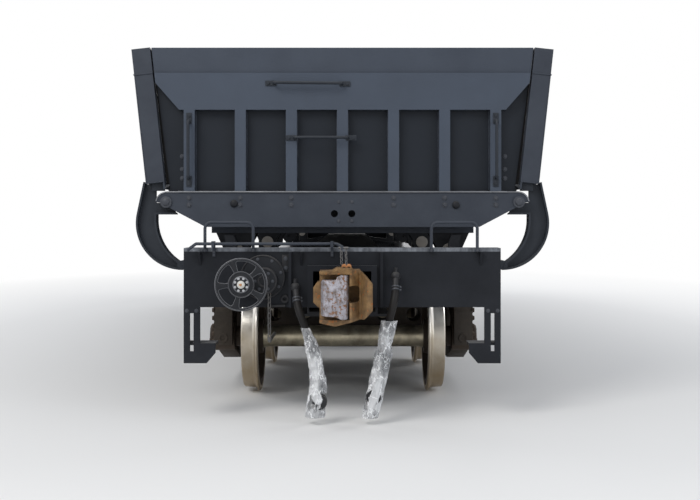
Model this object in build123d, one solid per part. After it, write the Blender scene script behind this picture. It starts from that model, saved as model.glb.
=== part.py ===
from build123d import *
import math
import os

# Side dump car, 60-tonne class, standard gauge, empty and standing on its wheels.
# Millimetres. X across the track, Y along it (end A at -Y carries the hand brake), Z up.
# The origin is under the middle of the car, level with the tips of the wheel flanges.

# Wheels and axles
flange_height = 27
tread_radius = 420
wheel_back_to_back = 1353
rim_width = 135
rim_thickness = 62
wheel_seat_radius = 97
axle_radius = 87
journal_radius = 65
journal_spacing = 1956
bearing_radius = 118
bearing_length = 170
running_fit = 0.05
face_gap = 0.3

# Bogies
wheelbase = 1750
bogie_spacing = 7700
side_frame_thickness = 150
bolster_half_depth = 190
spring_radius = 58
centre_plate_radius = 160

# Underframe
coupler_faces = 13060
coupler_overhang = 470
beam_width = 2240
beam_depth = 180
beam_bottom = 795
beam_top = 1213
beam_flange = 25
plate = 16
sill_half_width = 250
sill_bottom = 745
sill_top = 1140
sill_belly_bottom = 520
sill_belly_half_length = 1700
sill_belly_slope = 900
sill_flange_half_width = 330
bearer_web = 20
bearer_flange_width = 150

# Tipping
trunnion_x = 800
trunnion_z = 1180
trunnion_radius = 60
inner_trunnion_y = 2400
saddle_length = 170
cheek_gap = 15
cheek_thickness = 30
cheek_radius = 92

# Tipping body
body_setback = 250
body_half_width = 1193
crossbeam_bottom = 1360
body_beam_bottom = 1374
floor_top = 1628
floor_plate = 14
arm_slot = 140
end_wall_depth = 84
post_spacing = 373
post_width = 80
post_half_count = 3
band_bottom = 2216
band_top = 2485
body_top = 2672
hinge_x = 1287
hinge_z = 1542
hinge_pin_radius = 30
hinge_boss_radius = 40
hook_radius = 72

# Side doors
door_inner_bottom_x = 1301
door_bottom_z = 1688
door_tilt = 6.2
door_thickness = 136
door_end_gap = 10
door_skin = 12
door_rib_count = 11
door_stop_gap = 8

# Door arms, the curved elbows at the four corners
arm_width = 110
arm_centre_x = 1171
arm_centre_z = 1388
arm_radius = 344
arm_plate = 14
arm_top_x = 1459
arm_top_z = 1690
arm_roller_radius = 34

# Dump cylinders
cylinder_stations = (-1500, 1500)
cylinder_pivot_x = 780
cylinder_pivot_z = 950
barrel_radius = 185
barrel_wall = 15
sleeve_wall = 14
slide_gap = 0.4
rod_eye_radius = 78
rod_pin_radius = 44
rod_eye_clearance = 6
rod_eye_slot = 20
rod_eye_width = 90

# Places that follow from the sizes above
axle_z = tread_radius + flange_height
wheel_inner = wheel_back_to_back / 2
wheel_outer = wheel_inner + rim_width
journal_x = journal_spacing / 2
beam_face = coupler_faces / 2 - coupler_overhang
body_face = beam_face - body_setback
floor_bottom = floor_top - floor_plate
tilt = math.radians(door_tilt)
door_height = (body_top - door_bottom_z) / math.cos(tilt)
door_half_length = body_face - door_end_gap
crossbeam_back = body_face - plate - arm_slot - 20
body_beam_end = crossbeam_back - 60
outer_trunnion_y = body_beam_end - 74
trunnion_stations = (-outer_trunnion_y, -inner_trunnion_y, inner_trunnion_y, outer_trunnion_y)
door_rib_pitch = 2 * door_half_length / (door_rib_count + 1)


def block(x, y, z):
    """Box between a low and a high value on each axis."""
    middle = ((x[0] + x[1]) / 2, (y[0] + y[1]) / 2, (z[0] + z[1]) / 2)
    return Pos(*middle) * Box(x[1] - x[0], y[1] - y[0], z[1] - z[0])


def plate_y(points, y):
    """Plate with its outline in X-Z and its thickness along Y."""
    wire = Polyline(*[(px, y[0], pz) for px, pz in points], close=True)
    return extrude(make_face(wire), amount=y[1] - y[0], dir=(0, 1, 0))


def plate_x(points, x):
    """Plate with its outline in Y-Z and its thickness along X."""
    wire = Polyline(*[(x[0], py, pz) for py, pz in points], close=True)
    return extrude(make_face(wire), amount=x[1] - x[0], dir=(1, 0, 0))


def plate_z(points, z):
    """Plate with its outline in X-Y and its thickness along Z."""
    wire = Polyline(*[(px, py, z[0]) for px, py in points], close=True)
    return extrude(make_face(wire), amount=z[1] - z[0], dir=(0, 0, 1))


def bar(start, end, radius):
    """Round bar between two points."""
    run = Vector(*end) - Vector(*start)
    return extrude(Plane(origin=start, z_dir=run) * Circle(radius), run.length)


def bent_bar(points, radius, bend):
    """Round bar along straight runs, with one bend radius or one for each corner."""
    path = FilletPolyline(*points, radius=bend)
    return sweep(Plane(origin=path @ 0, z_dir=path % 0) * Circle(radius), path)


def both_sides(piece):
    """A piece and its mirror image across the car."""
    return [piece, mirror(piece, Plane.YZ)]


def both_ends(piece):
    """A piece and its mirror image along the car."""
    return [piece, mirror(piece, Plane.XZ)]


def group(pieces):
    """Solids of one node that stay apart from each other."""
    return Compound([solid for piece in pieces for solid in piece.solids()])


def fuse(pieces):
    """One solid made of all the pieces."""
    whole = pieces[0]
    for piece in pieces[1:]:
        whole = whole + piece
    return whole


# Wheelset: axle, two wheels and the end caps, turned as one outline about the axle
hub_inner = wheel_inner - 12
hub_outer = wheel_outer + 24
hub_radius = 138
bearing_inner = journal_x - bearing_length / 2
bearing_outer = journal_x + bearing_length / 2
cap_radius = 98
cap_thickness = 30
rim_underside = tread_radius - rim_thickness


def wheel():
    """Rolled wheel turned about the axle, with its flange on the inner side."""
    web_x = (wheel_inner + wheel_outer) / 2
    bore = wheel_seat_radius + running_fit
    outline = [
        (hub_inner, bore),
        (hub_inner, hub_radius),
        (web_x - 30, hub_radius + 12),
        (web_x - 14, rim_underside - 18),
        (wheel_inner, rim_underside - 4),
        (wheel_inner, tread_radius + flange_height - 10),
        (wheel_inner + 9, tread_radius + flange_height),
        (wheel_inner + 21, tread_radius + flange_height - 3),
        (wheel_inner + 32, tread_radius + 7),
        (wheel_inner + 44, tread_radius),
        (wheel_outer - 8, tread_radius - 5),
        (wheel_outer, tread_radius - 13),
        (wheel_outer, rim_underside - 4),
        (web_x + 14, rim_underside - 18),
        (web_x + 26, hub_radius + 12),
        (hub_outer, hub_radius),
        (hub_outer, bore),
    ]
    return revolve(make_face(Polyline(*outline, close=True)), axis=Axis.X)


def axle():
    """Axle with its wheel seats, journals and end caps."""
    outline = [
        (0, 0),
        (0, axle_radius),
        (hub_inner - 40, axle_radius),
        (hub_inner, wheel_seat_radius),
        (hub_outer, wheel_seat_radius),
        (hub_outer + 14, axle_radius),
        (bearing_inner - 2, axle_radius - 4),
        (bearing_inner, journal_radius),
        (bearing_outer + 2, journal_radius),
        (bearing_outer + 2, cap_radius),
        (bearing_outer + cap_thickness - 8, cap_radius),
        (bearing_outer + cap_thickness, cap_radius - 8),
        (bearing_outer + cap_thickness, 0),
    ]
    half = revolve(make_face(Polyline(*outline, close=True)), axis=Axis.X)
    return fuse(both_sides(half))


def wheelset(y):
    """Two wheels pressed on one axle, which turn as one body."""
    return Pos(0, y, axle_z) * group([axle()] + both_sides(wheel()))


# Bogie side frames, cast, with a window for the springs and jaws over the bearings
jaw_half = 126
frame_half_length = wheelbase / 2 + 180
jaw_roof = axle_z + bearing_radius + 27
window_half = 250
frame_pocket = 50
column_half = 395
frame_bottom = 205
frame_top = 800
spring_seat = 275
spring_top = 520
bolster_top = 705


def side_frame_outline():
    axle_y = wheelbase / 2
    return [
        (0, frame_top),
        (380, frame_top),
        (axle_y - 115, jaw_roof + 113),
        (frame_half_length - 25, jaw_roof + 108),
        (frame_half_length, jaw_roof + 68),
        (frame_half_length, axle_z - 57),
        (axle_y + jaw_half, axle_z - 57),
        (axle_y + jaw_half, jaw_roof),
        (axle_y - jaw_half, jaw_roof),
        (axle_y - jaw_half, axle_z - 110),
        (axle_y - jaw_half - 60, axle_z - 150),
        (window_half + 120, frame_bottom),
        (0, frame_bottom),
    ]


def mirrored_outline(half):
    """A closed outline from its half with values at or above zero on the first axis."""
    return half + [(-a, b) for a, b in reversed(half) if a != 0]


def side_frames(bogie_y):
    inner = journal_x - side_frame_thickness / 2
    outer = journal_x + side_frame_thickness / 2
    frame = plate_x(mirrored_outline(side_frame_outline()), (inner, outer))
    frame -= block((inner, outer), (-window_half, window_half), (spring_seat, bolster_top + 15))
    jaw_leg = wheelbase / 2 - jaw_half - 50
    opening = [
        (column_half, spring_seat + 45),
        (jaw_leg, axle_z - 40),
        (jaw_leg, jaw_roof + 10),
        (column_half, bolster_top - 5),
    ]
    hole = plate_x(opening, (inner, outer))
    frame = frame - hole - mirror(hole, Plane.XZ)
    deep = (outer - frame_pocket, outer)
    upper = [
        (0, frame_top - 22),
        (column_half - 20, frame_top - 22),
        (jaw_leg - 10, jaw_roof + 103),
        (jaw_leg - 10, jaw_roof + 40),
        (column_half, bolster_top + 24),
        (window_half, bolster_top + 38),
        (0, bolster_top + 38),
    ]
    lower = [
        (0, frame_bottom + 22),
        (window_half + 115, frame_bottom + 22),
        (jaw_leg - 34, axle_z - 134),
        (jaw_leg - 24, axle_z - 72),
        (column_half + 5, spring_seat + 22),
        (window_half + 80, spring_seat - 22),
        (0, spring_seat - 22),
    ]
    frame -= plate_x(mirrored_outline(upper), deep)
    frame -= plate_x(mirrored_outline(lower), deep)
    column = block(deep, (window_half + 26, column_half - 26), (spring_seat + 72, bolster_top - 30))
    frame = frame - column - mirror(column, Plane.XZ)
    return Pos(0, bogie_y, 0) * group(both_sides(frame))


def axle_boxes(bogie_y):
    """Roller bearings on the journals, each under the adapter that the side frame rests on."""
    boxes = []
    for axle_y in (-wheelbase / 2, wheelbase / 2):
        race = bar((bearing_inner + 1, axle_y, axle_z), (bearing_outer, axle_y, axle_z),
                   bearing_radius)
        race -= bar((bearing_inner, axle_y, axle_z), (bearing_outer, axle_y, axle_z),
                    journal_radius + running_fit)
        reach = bearing_length / 2 - 8
        adapter = block((journal_x - reach, journal_x + reach), (axle_y - 108, axle_y + 108),
                        (axle_z + 40, jaw_roof))
        adapter -= bar((bearing_inner, axle_y, axle_z), (bearing_outer, axle_y, axle_z),
                       bearing_radius - 1)
        boxes += both_sides(race + adapter)
    return Pos(0, bogie_y, 0) * group(boxes)


bowl_radius = centre_plate_radius + 36
bowl_floor = bolster_top + 4
bowl_top = sill_bottom - plate - 8


def bogie_bolster(bogie_y):
    side = journal_x + side_frame_thickness / 2 - 12
    half = [
        (0, bolster_top),
        (420, bolster_top),
        (side, bolster_top - 40),
        (side, spring_top),
        (journal_x - side_frame_thickness / 2 - 60, spring_top),
        (560, 425),
        (0, 415),
    ]
    beam = plate_y(mirrored_outline(half), (-bolster_half_depth, bolster_half_depth))
    for x in (-620, -360, 360, 620):
        beam -= bar((x, -bolster_half_depth, 560), (x, bolster_half_depth, 560), 62)
    bowl = Pos(0, 0, bolster_top) * extrude(Circle(bowl_radius), bowl_top - bolster_top)
    beam = beam + bowl - Pos(0, 0, bowl_floor) * extrude(Circle(centre_plate_radius + 2), 60)
    return Pos(0, bogie_y, 0) * beam


def springs(bogie_y):
    """Spring nests between each side frame's seat and the bolster."""
    coils = []
    for dy in (-130, 0, 130):
        for dx in (-1, 1):
            coils.append(bar((dx * journal_x, dy, spring_seat), (dx * journal_x, dy, spring_top),
                             spring_radius))
    return Pos(0, bogie_y, 0) * group(coils)


def brake_beams(bogie_y):
    """Brake beam and its two shoes for each axle, hung between the side frames."""
    beams = []
    inner = journal_x - side_frame_thickness / 2
    beam_y = column_half - 45
    beam_z = axle_z - 45
    half = block((-inner, inner), (beam_y - 35, beam_y + 35), (beam_z - 30, beam_z + 30))
    half += plate_z([(-inner + 90, beam_y - 30), (-60, beam_y - 110), (60, beam_y - 110),
                     (inner - 90, beam_y - 30)], (beam_z - 18, beam_z + 18))
    for side in (-1, 1):
        shoe_x = side * (wheel_inner + 85)
        shoe = block((shoe_x - 42, shoe_x + 42), (beam_y, wheelbase / 2 - 300),
                     (axle_z - 190, axle_z + 130))
        shoe -= bar((-1000, wheelbase / 2, axle_z), (1000, wheelbase / 2, axle_z),
                    tread_radius + 8)
        shoe -= bar((-1000, wheelbase / 2, axle_z), (1000, wheelbase / 2, axle_z), 300)
        half += shoe.solids().sort_by(Axis.Y)[0]
    beams += both_ends(half)
    return Pos(0, bogie_y, 0) * group(beams)


# Centre sill, a hollow fish-bellied box with flanges
def sill_outline(inset, half_length):
    """Outline of the sill in Y-Z, drawn in from its top and bottom by the inset."""
    bottom = sill_bottom + inset
    belly = sill_belly_bottom + inset
    half = [
        (half_length, sill_top - inset),
        (half_length, bottom),
        (sill_belly_half_length + sill_belly_slope, bottom),
        (sill_belly_half_length, belly),
    ]
    return half + [(-a, b) for a, b in reversed(half)]


sill_half_length = beam_face - plate


def centre_sill():
    web = sill_half_width
    box = plate_x(sill_outline(0, sill_half_length), (-web, web))
    box -= plate_x(sill_outline(plate, sill_half_length), (-web + plate, web - plate))
    wide = sill_flange_half_width
    lower = plate_x(sill_outline(-plate, sill_half_length), (-wide, wide))
    lower -= plate_x(sill_outline(0, sill_half_length), (-wide, wide))
    discs = []
    for bogie_y in (-bogie_spacing / 2, bogie_spacing / 2):
        disc = extrude(Circle(centre_plate_radius), sill_bottom - bowl_floor - face_gap)
        discs.append(Pos(0, bogie_y, bowl_floor + face_gap) * disc)
    return fuse([box, lower] + discs)


# Cross bearers: arms off the sill that hold the trunnion saddles and the dump cylinders
pipe_places = ((-326, 942), (374, 1018))
pipe_radius = 21
pipe_end = 20
pipe_hole = pipe_radius + 6
saddle_half = 96
seat_radius = trunnion_radius + face_gap
arm_root_bottom = sill_bottom + 20
saddle_foot = trunnion_z - cheek_radius - 20


def trunnion_arm(y):
    """Tapered arm from the sill's side to the saddle, with its half-round seat."""
    tip = trunnion_x + saddle_half
    outline = [
        (sill_half_width, sill_top - 12),
        (trunnion_x - saddle_half, saddle_foot),
        (tip, saddle_foot),
        (tip, saddle_foot - 110),
        (sill_half_width, arm_root_bottom),
    ]
    web = plate_y(outline, (y - bearer_web / 2, y + bearer_web / 2))
    wide = (y - bearer_flange_width / 2, y + bearer_flange_width / 2)
    low = [
        (sill_half_width, arm_root_bottom),
        (tip, saddle_foot - 110),
        (tip, saddle_foot - 110 - plate),
        (sill_half_width, arm_root_bottom - plate),
    ]
    top = [
        (sill_half_width, sill_top - 12),
        (trunnion_x - saddle_half, saddle_foot),
        (tip, saddle_foot),
        (tip, saddle_foot - plate),
        (trunnion_x - saddle_half, saddle_foot - plate),
        (sill_half_width, sill_top - 12 - plate),
    ]
    seat = block((trunnion_x - saddle_half, tip), (y - saddle_length / 2, y + saddle_length / 2),
                 (saddle_foot, trunnion_z - 4))
    seat -= bar((trunnion_x, y - saddle_length, trunnion_z),
                (trunnion_x, y + saddle_length, trunnion_z), seat_radius)
    return fuse([web, plate_y(low, wide), plate_y(top, wide), seat])


trunnion_stub = 40
cradle_gap = 25
cradle_plate = 30


def cylinder_arms(y):
    """Pair of tapered plates that carry one barrel's trunnions."""
    tip = cylinder_pivot_x + 85
    outline = [
        (sill_half_width, sill_top - 40),
        (cylinder_pivot_x - 60, cylinder_pivot_z + 75),
        (tip - 20, cylinder_pivot_z + 75),
        (tip, cylinder_pivot_z + 55),
        (tip, cylinder_pivot_z - 70),
        (cylinder_pivot_x - 60, cylinder_pivot_z - 90),
        (sill_half_width, arm_root_bottom - 60),
    ]
    plates = []
    for side in (-1, 1):
        near = y + side * (barrel_radius + cradle_gap)
        far = near + side * cradle_plate
        arm = plate_y(outline, (min(near, far), max(near, far)))
        arm -= bar((cylinder_pivot_x, y - 400, cylinder_pivot_z),
                   (cylinder_pivot_x, y + 400, cylinder_pivot_z), trunnion_stub + running_fit)
        plates.append(arm)
    return plates


def cross_bearers():
    arms = []
    for y in trunnion_stations:
        arms += both_sides(trunnion_arm(y))
    for y in cylinder_stations:
        for arm in cylinder_arms(y):
            arms += both_sides(arm)
    for x, z in pipe_places:
        hole = bar((x, -beam_face, z), (x, beam_face, z), pipe_hole)
        arms = [arm - hole if arm.center().X * x > 0 else arm for arm in arms]
    return group(arms)


# End beams with gussets and the striker ring, corner steps, grab rails
coupler_z = 907
shank_half_height = 85
coupler_opening = (205, coupler_z - shank_half_height - face_gap, 1050)
striker_ribs = (-367, 278)
beam_gussets = (-1004, -289, 978)
gusset_height = 100
gusset_reach = 60


def end_beam():
    """Channel-shaped beam across end A, open where the coupler passes."""
    face = -beam_face
    half = beam_width / 2
    under_flange = beam_top - beam_flange
    web = block((-half, half), (face, face + plate), (beam_bottom, under_flange))
    top = block((-half, half), (face, face + beam_depth), (under_flange, beam_top))
    low = block((-half, half), (face, face + beam_depth), (beam_bottom, beam_bottom + plate))
    ends = both_sides(block((half - plate, half), (face, face + beam_depth),
                            (beam_bottom, under_flange)))
    beam = fuse([web, top, low] + ends)
    wide, lowest, highest = coupler_opening
    beam -= block((-wide, wide), (face - 1, face + beam_depth + 1), (lowest, highest))
    sill = sill_flange_half_width + face_gap
    beam -= block((-sill, sill), (face + plate, face + beam_depth + 1),
                  (beam_bottom - 1, sill_top + face_gap))
    ring = block((-wide - 40, wide + 40), (face - 30, face), (beam_bottom, highest + 40))
    ring -= block((-wide, wide), (face - 30, face), (lowest, highest))
    pieces = [beam, ring]
    for x in striker_ribs:
        pieces.append(block((x - 10, x + 10), (face - 45, face), (beam_bottom, under_flange)))
    for x in beam_gussets:
        outline = [(face, under_flange), (face - gusset_reach, under_flange),
                   (face, under_flange - gusset_height)]
        pieces.append(plate_x(outline, (x - 8, x + 8)))
    beam = fuse(pieces)
    for x, z in pipe_places:
        beam -= bar((x, face - 60, z), (x, face + plate, z), pipe_radius + face_gap)
    return beam


step_bottom = 399
step_tread = 541
step_outer = 1120
step_leg = 44
step_bar_x = 1004
step_slot_x = 1050
step_inner = 896
step_slot = (483, 752)


def corner_step():
    """Folded step hung under the end beam's corner, with a slotted hanger."""
    face = -beam_face
    front = [
        (step_outer, beam_bottom),
        (step_outer, step_bottom),
        (step_inner + 62, step_bottom),
        (step_inner, step_bottom + 72),
        (step_inner, step_tread),
        (step_bar_x, step_tread),
        (step_bar_x, beam_bottom),
    ]
    hanger = plate_y(front, (face, face + plate))
    hanger -= block((step_slot_x, step_outer - step_leg), (face, face + plate), step_slot)
    tread = block((step_inner, step_outer), (face + plate, face + beam_depth),
                  (step_tread - plate, step_tread))
    side = block((step_outer - plate, step_outer), (face + plate, face + beam_depth),
                 (step_bottom + 60, beam_bottom))
    return fuse([hanger, tread, side])


rail_radius = 11
rail_top_z = 1394
rail_table = ((-967, -627), (628, 952))
rail_foot = 34


def beam_grab_rails():
    rails = []
    for low_x, high_x in rail_table:
        y = -beam_face - 18
        foot_z = beam_top
        points = [(low_x, y, foot_z - 20), (low_x, y, rail_top_z), (high_x, y, rail_top_z),
                  (high_x, y, foot_z - 20)]
        rail = bent_bar(points, rail_radius, 45)
        for x in (low_x, high_x):
            rail += block((x - rail_foot / 2, x + rail_foot / 2), (-beam_face - 30, -beam_face),
                          (foot_z - beam_flange, foot_z - 8))
        rails += both_ends(rail)
    return group(rails)


# Cut lever that lifts the coupler's lock, one at each end
lever_radius = 11
lever_z = 1244
lever_y = -beam_face - 60
lever_outer = -1085
lever_brackets = (-905, -72)
lever_drop = 45


def cut_lever():
    points = [
        (lever_outer, lever_y, lever_z - lever_drop),
        (lever_outer + 60, lever_y, lever_z),
        (-40, lever_y, lever_z),
        (0, lever_y - 60, lever_z - 20),
        (0, lever_y - 150, lever_z - 25),
    ]
    lever = bent_bar(points, lever_radius, [20, 30, 25])
    for x in lever_brackets:
        lever += block((x - 10, x + 10), (lever_y - 18, -beam_face), (lever_z - 24, lever_z + 18))
        lever += block((x - 10, x + 10), (-beam_face - 12, -beam_face), (beam_top - 60, lever_z))
    return lever


def cut_levers():
    return group([cut_lever(), Rot(0, 0, 180) * cut_lever()])


# Coupler: cast head with its guard arm, throat and shank, and the hooked knuckle between its lugs
head_back = 300
throat_depth = 130
shank_half_width = 65
shank_length = 820
head_outline = (
    (-150, -184),
    (-150, 160),
    (-67, 163),
    (-34, 183),
    (65, 180),
    (78, 168),
    (118, 168),
    (176, 112),
    (206, 77),
    (206, -98),
    (151, -158),
    (-44, -207),
)
head_plan = (
    (-150, head_back),
    (-150, 62),
    (-124, 46),
    (66, 46),
    (92, 78),
    (118, 112),
    (128, 106),
    (141, 58),
    (160, 12),
    (174, 0),
    (196, 0),
    (206, 14),
    (206, 160),
    (150, head_back),
)
side_lug = ((-149, 87), (-165, 87), (-193, 48), (-193, -52), (-160, -85), (-149, -85))
knuckle_outline = (
    (-140, -135),
    (-140, 90),
    (-128, 104),
    (-41, 104),
    (-28, 127),
    (-5, 137),
    (45, 134),
    (42, -158),
    (2, -161),
    (-44, -141),
)
knuckle_plan = (
    (-140, throat_depth),
    (-140, 66),
    (-122, 20),
    (-96, 0),
    (-12, 4),
    (32, 28),
    (46, 62),
    (34, 88),
    (8, 98),
    (-10, throat_depth),
)
knuckle_slot = (52, -164, 140)
throat = (44, 117, -51, 64)
throat_corner = 22


def coupler():
    """Head drawn from the front and in plan, hollowed for the knuckle and the throat."""
    face = -coupler_faces / 2
    front = [(x, coupler_z + up) for x, up in head_outline]
    head = plate_y(front, (face, face + head_back))
    plan = [(x, face + back) for x, back in head_plan]
    head = head & plate_z(plan, (coupler_z - 250, coupler_z + 250))
    wide, low, high = knuckle_slot
    head -= block((-151, wide), (face - 1, face + throat_depth + face_gap),
                  (coupler_z + low, coupler_z + high))
    left_x, right_x, low, high = throat
    opening = block((left_x, right_x), (face - 1, face + head_back - 60),
                    (coupler_z + low, coupler_z + high))
    head -= fillet(opening.edges().filter_by(Axis.Y), throat_corner)
    lug = plate_y([(x, coupler_z + up) for x, up in side_lug],
                  (face + throat_depth + 4, face + head_back - 40))
    shank = block((-shank_half_width, shank_half_width),
                  (face + head_back - 1, face + shank_length),
                  (coupler_z - shank_half_height, coupler_z + shank_half_height))
    return fuse([head, lug, shank])


def knuckle():
    face = -coupler_faces / 2
    plan = [(x, face + back) for x, back in knuckle_plan]
    hook = plate_z(plan, (coupler_z - 250, coupler_z + 250))
    return hook & plate_y([(x, coupler_z + up) for x, up in knuckle_outline],
                          (face - 1, face + head_back))


# Hand brake on end A: pressed wheel with five rounded windows, gear plate, chain drum and chain
wheel_x = -695
wheel_z = 966
hand_wheel_radius = 178
hand_wheel_rim = 10
hand_wheel_plate = 8
wheel_stand_off = 190
first_spoke = 112
spoke_half = 17
window_outer = 160
window_inner = 92
window_corner = 20
hub_flange_radius = 60
gear_plate_x = -560
gear_plate_z = 1008
gear_plate_radius = 158
gear_plate_depth = 30
drum_x = -546
drum_z = 984
drum_radius = 94
drum_depth = 105
chain_x = drum_x + 35
chain_half = 14
chain_stand_off = 50
chain_low = 555


def wheel_window(middle, y):
    """Opening in the wheel between two spokes, with rounded corners."""

    def at(radius, share):
        half = math.radians(36) - math.asin(spoke_half / radius)
        angle = math.radians(middle) + share * half
        return (wheel_x + radius * math.cos(angle), y, wheel_z + radius * math.sin(angle))

    edges = [
        ThreePointArc(at(window_outer, -1), at(window_outer, 0), at(window_outer, 1)),
        Line(at(window_outer, 1), at(window_inner, 1)),
        ThreePointArc(at(window_inner, 1), at(window_inner, 0), at(window_inner, -1)),
        Line(at(window_inner, -1), at(window_outer, -1)),
    ]
    window = extrude(make_face(edges), amount=hand_wheel_plate, dir=(0, 1, 0))
    return fillet(window.edges().filter_by(Axis.Y), window_corner)


def handwheel():
    y = -beam_face - wheel_stand_off
    front = y - hand_wheel_plate / 2
    wheel = bar((wheel_x, front, wheel_z), (wheel_x, front + hand_wheel_plate, wheel_z),
                hand_wheel_radius)
    for k in range(5):
        wheel -= wheel_window(first_spoke + 36 + 72 * k, front)
    rim = Rot(90, 0, 0) * Torus(hand_wheel_radius, hand_wheel_rim)
    wheel += Pos(wheel_x, y, wheel_z) * rim
    wheel += bar((wheel_x, y - 16, wheel_z), (wheel_x, y + 14, wheel_z), hub_flange_radius)
    wheel += bar((wheel_x, y - 30, wheel_z), (wheel_x, y, wheel_z), 27)
    wheel += bar((wheel_x, y, wheel_z), (wheel_x, -beam_face - drum_depth, wheel_z), 20)
    return wheel


def brake_gear_case():
    """Round gear plate on the beam, the chain drum in front of it and the wheel's bearing."""
    face = -beam_face
    case = bar((gear_plate_x, face - gear_plate_depth, gear_plate_z),
               (gear_plate_x, face, gear_plate_z), gear_plate_radius)
    case += bar((drum_x, face - drum_depth, drum_z), (drum_x, face, drum_z), drum_radius)
    case += bar((wheel_x, face - drum_depth, wheel_z), (wheel_x, face, wheel_z), 52)
    return case


def brake_chain():
    """Chain from the drum down to the brake rod under the sill, as one plain strand."""
    x = chain_x
    y = -beam_face - chain_stand_off
    near = chain_x - chain_half - drum_x
    top = drum_z - math.sqrt(drum_radius ** 2 - near ** 2) - face_gap
    strand = block((x - chain_half, x + chain_half), (y - chain_half, y + chain_half),
                   (chain_low, top))
    rod = bar((x, y - 20, chain_low + 5), (x, beam_depth - beam_face + 300, chain_low + 5), 13)
    return strand + rod


# Air brake and dump air gear under the frame
reservoir_radius = 225
reservoir_x = 600
reservoir_z = 640
reservoir_half_length = 1050
brake_cylinder_radius = 150
brake_cylinder_y = 1800
brake_cylinder_z = 850
brake_cylinder_length = 330
valve_y = 2000
valve_z = 875


def air_reservoirs():
    tanks = []
    for side in (-1, 1):
        x = side * reservoir_x
        half = reservoir_half_length
        tank = bar((x, -half, reservoir_z), (x, half, reservoir_z), reservoir_radius)
        tank = fillet(tank.edges().filter_by(GeomType.CIRCLE), 90)
        for y in (-half / 2, half / 2):
            inner = side * sill_half_width
            tank += block((min(inner, x), max(inner, x)), (y - 30, y + 30),
                          (reservoir_z + reservoir_radius - 40, reservoir_z + reservoir_radius + 30))
        tanks.append(tank)
    return group(tanks)


def brake_cylinder():
    x = -sill_half_width - 290
    y = brake_cylinder_y
    z = brake_cylinder_z
    end = y + brake_cylinder_length
    barrel = bar((x, y, z), (x, end, z), brake_cylinder_radius)
    barrel += bar((x, y - 18, z), (x, y, z), brake_cylinder_radius + 22)
    barrel += bar((x, end, z), (x, end + 140, z), 30)
    barrel += block((x, -sill_half_width), (y + 60, y + 240), (z - 45, z + 45))
    return barrel


def control_valve():
    x = sill_half_width
    body = block((x, x + 150), (valve_y - 120, valve_y + 120), (valve_z - 85, valve_z + 85))
    body += bar((x + 75, valve_y - 180, valve_z - 15), (x + 75, valve_y + 180, valve_z - 15), 55)
    return body


def train_pipes():
    pipes = []
    for x, z in pipe_places:
        start = (x, -beam_face - pipe_end, z)
        pipes.append(bar(start, (x, beam_face + pipe_end, z), pipe_radius))
    return group(pipes)


# Angle cocks and hoses
cock_nozzle = 70
cock_radius = 27


hose_radius = 27


def hose_route(table):
    """Points down a hose from its cock, each with its distance out from the end beam's face."""
    return [(x, -beam_face - out, z) for x, out, z in table]


left_hose_route = hose_route([
    (-318, 119, 879),
    (-310, 146, 823),
    (-286, 174, 754),
    (-251, 186, 665),
    (-214, 180, 566),
    (-189, 168, 462),
    (-173, 162, 360),
    (-164, 164, 268),
])
right_hose_route = hose_route([
    (372, 120, 956),
    (370, 148, 900),
    (352, 178, 820),
    (326, 184, 722),
    (306, 180, 616),
    (288, 172, 508),
    (272, 166, 400),
    (246, 166, 300),
])


def angle_cocks():
    """Angle cock on each pipe end, its nozzle in line with where the hose starts."""
    cocks = []
    for (x, z), route in zip(pipe_places, (left_hose_route, right_hose_route)):
        start = Vector(*route[0])
        run = (Vector(*route[1]) - start).normalized()
        centre = start - run * cock_nozzle
        collar_end = (x, -beam_face - pipe_end - 12, z)
        body = bar((x, -beam_face - pipe_end, z), collar_end, cock_radius)
        body += bar(collar_end, tuple(centre), cock_radius - 1)
        body += Pos(*centre) * Sphere(cock_radius + 6)
        body += bar(tuple(centre), route[0], cock_radius - 4)
        body += bar(tuple(centre), (centre.X, centre.Y, centre.Z + 58), 13)
        cocks += both_ends(body)
    return group(cocks)


def hose(route):
    points = [Vector(*point) for point in route]
    radii = []
    for k in range(1, len(points) - 1):
        before = points[k] - points[k - 1]
        after = points[k + 1] - points[k]
        turn = math.radians(before.get_angle(after))
        radii.append(0.45 * min(before.length, after.length) / math.tan(turn / 2))
    print("hose bend radii", [round(radius) for radius in radii])
    path = FilletPolyline(*route, radius=radii)
    tube = sweep(Plane(origin=path @ 0, z_dir=path % 0) * Circle(hose_radius), path)
    print("hose length", round(path.length), "volume", round(tube.volume),
          "section times length", round(math.pi * hose_radius ** 2 * path.length))
    return tube


gladhand_drop = 165


def gladhand(route):
    """Cast coupling head on the hose's lower end, pointing down."""
    end = Vector(*route[-1])
    run = (end - Vector(*route[-2])).normalized()
    tip = end + run * gladhand_drop
    head = bar(tuple(end), tuple(tip), 30)
    low = tip - run * 55
    head += bar((low.X, low.Y - 46, low.Z), (low.X, low.Y + 30, low.Z), 50)
    return head


# Cams that bear on the door arms' rollers, behind the end beam
cam_centre_x = 1056
cam_centre_z = 1232
cam_radius = 195
cam_low_x = 960
cam_bottom = 880
cam_back_x = 780


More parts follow.
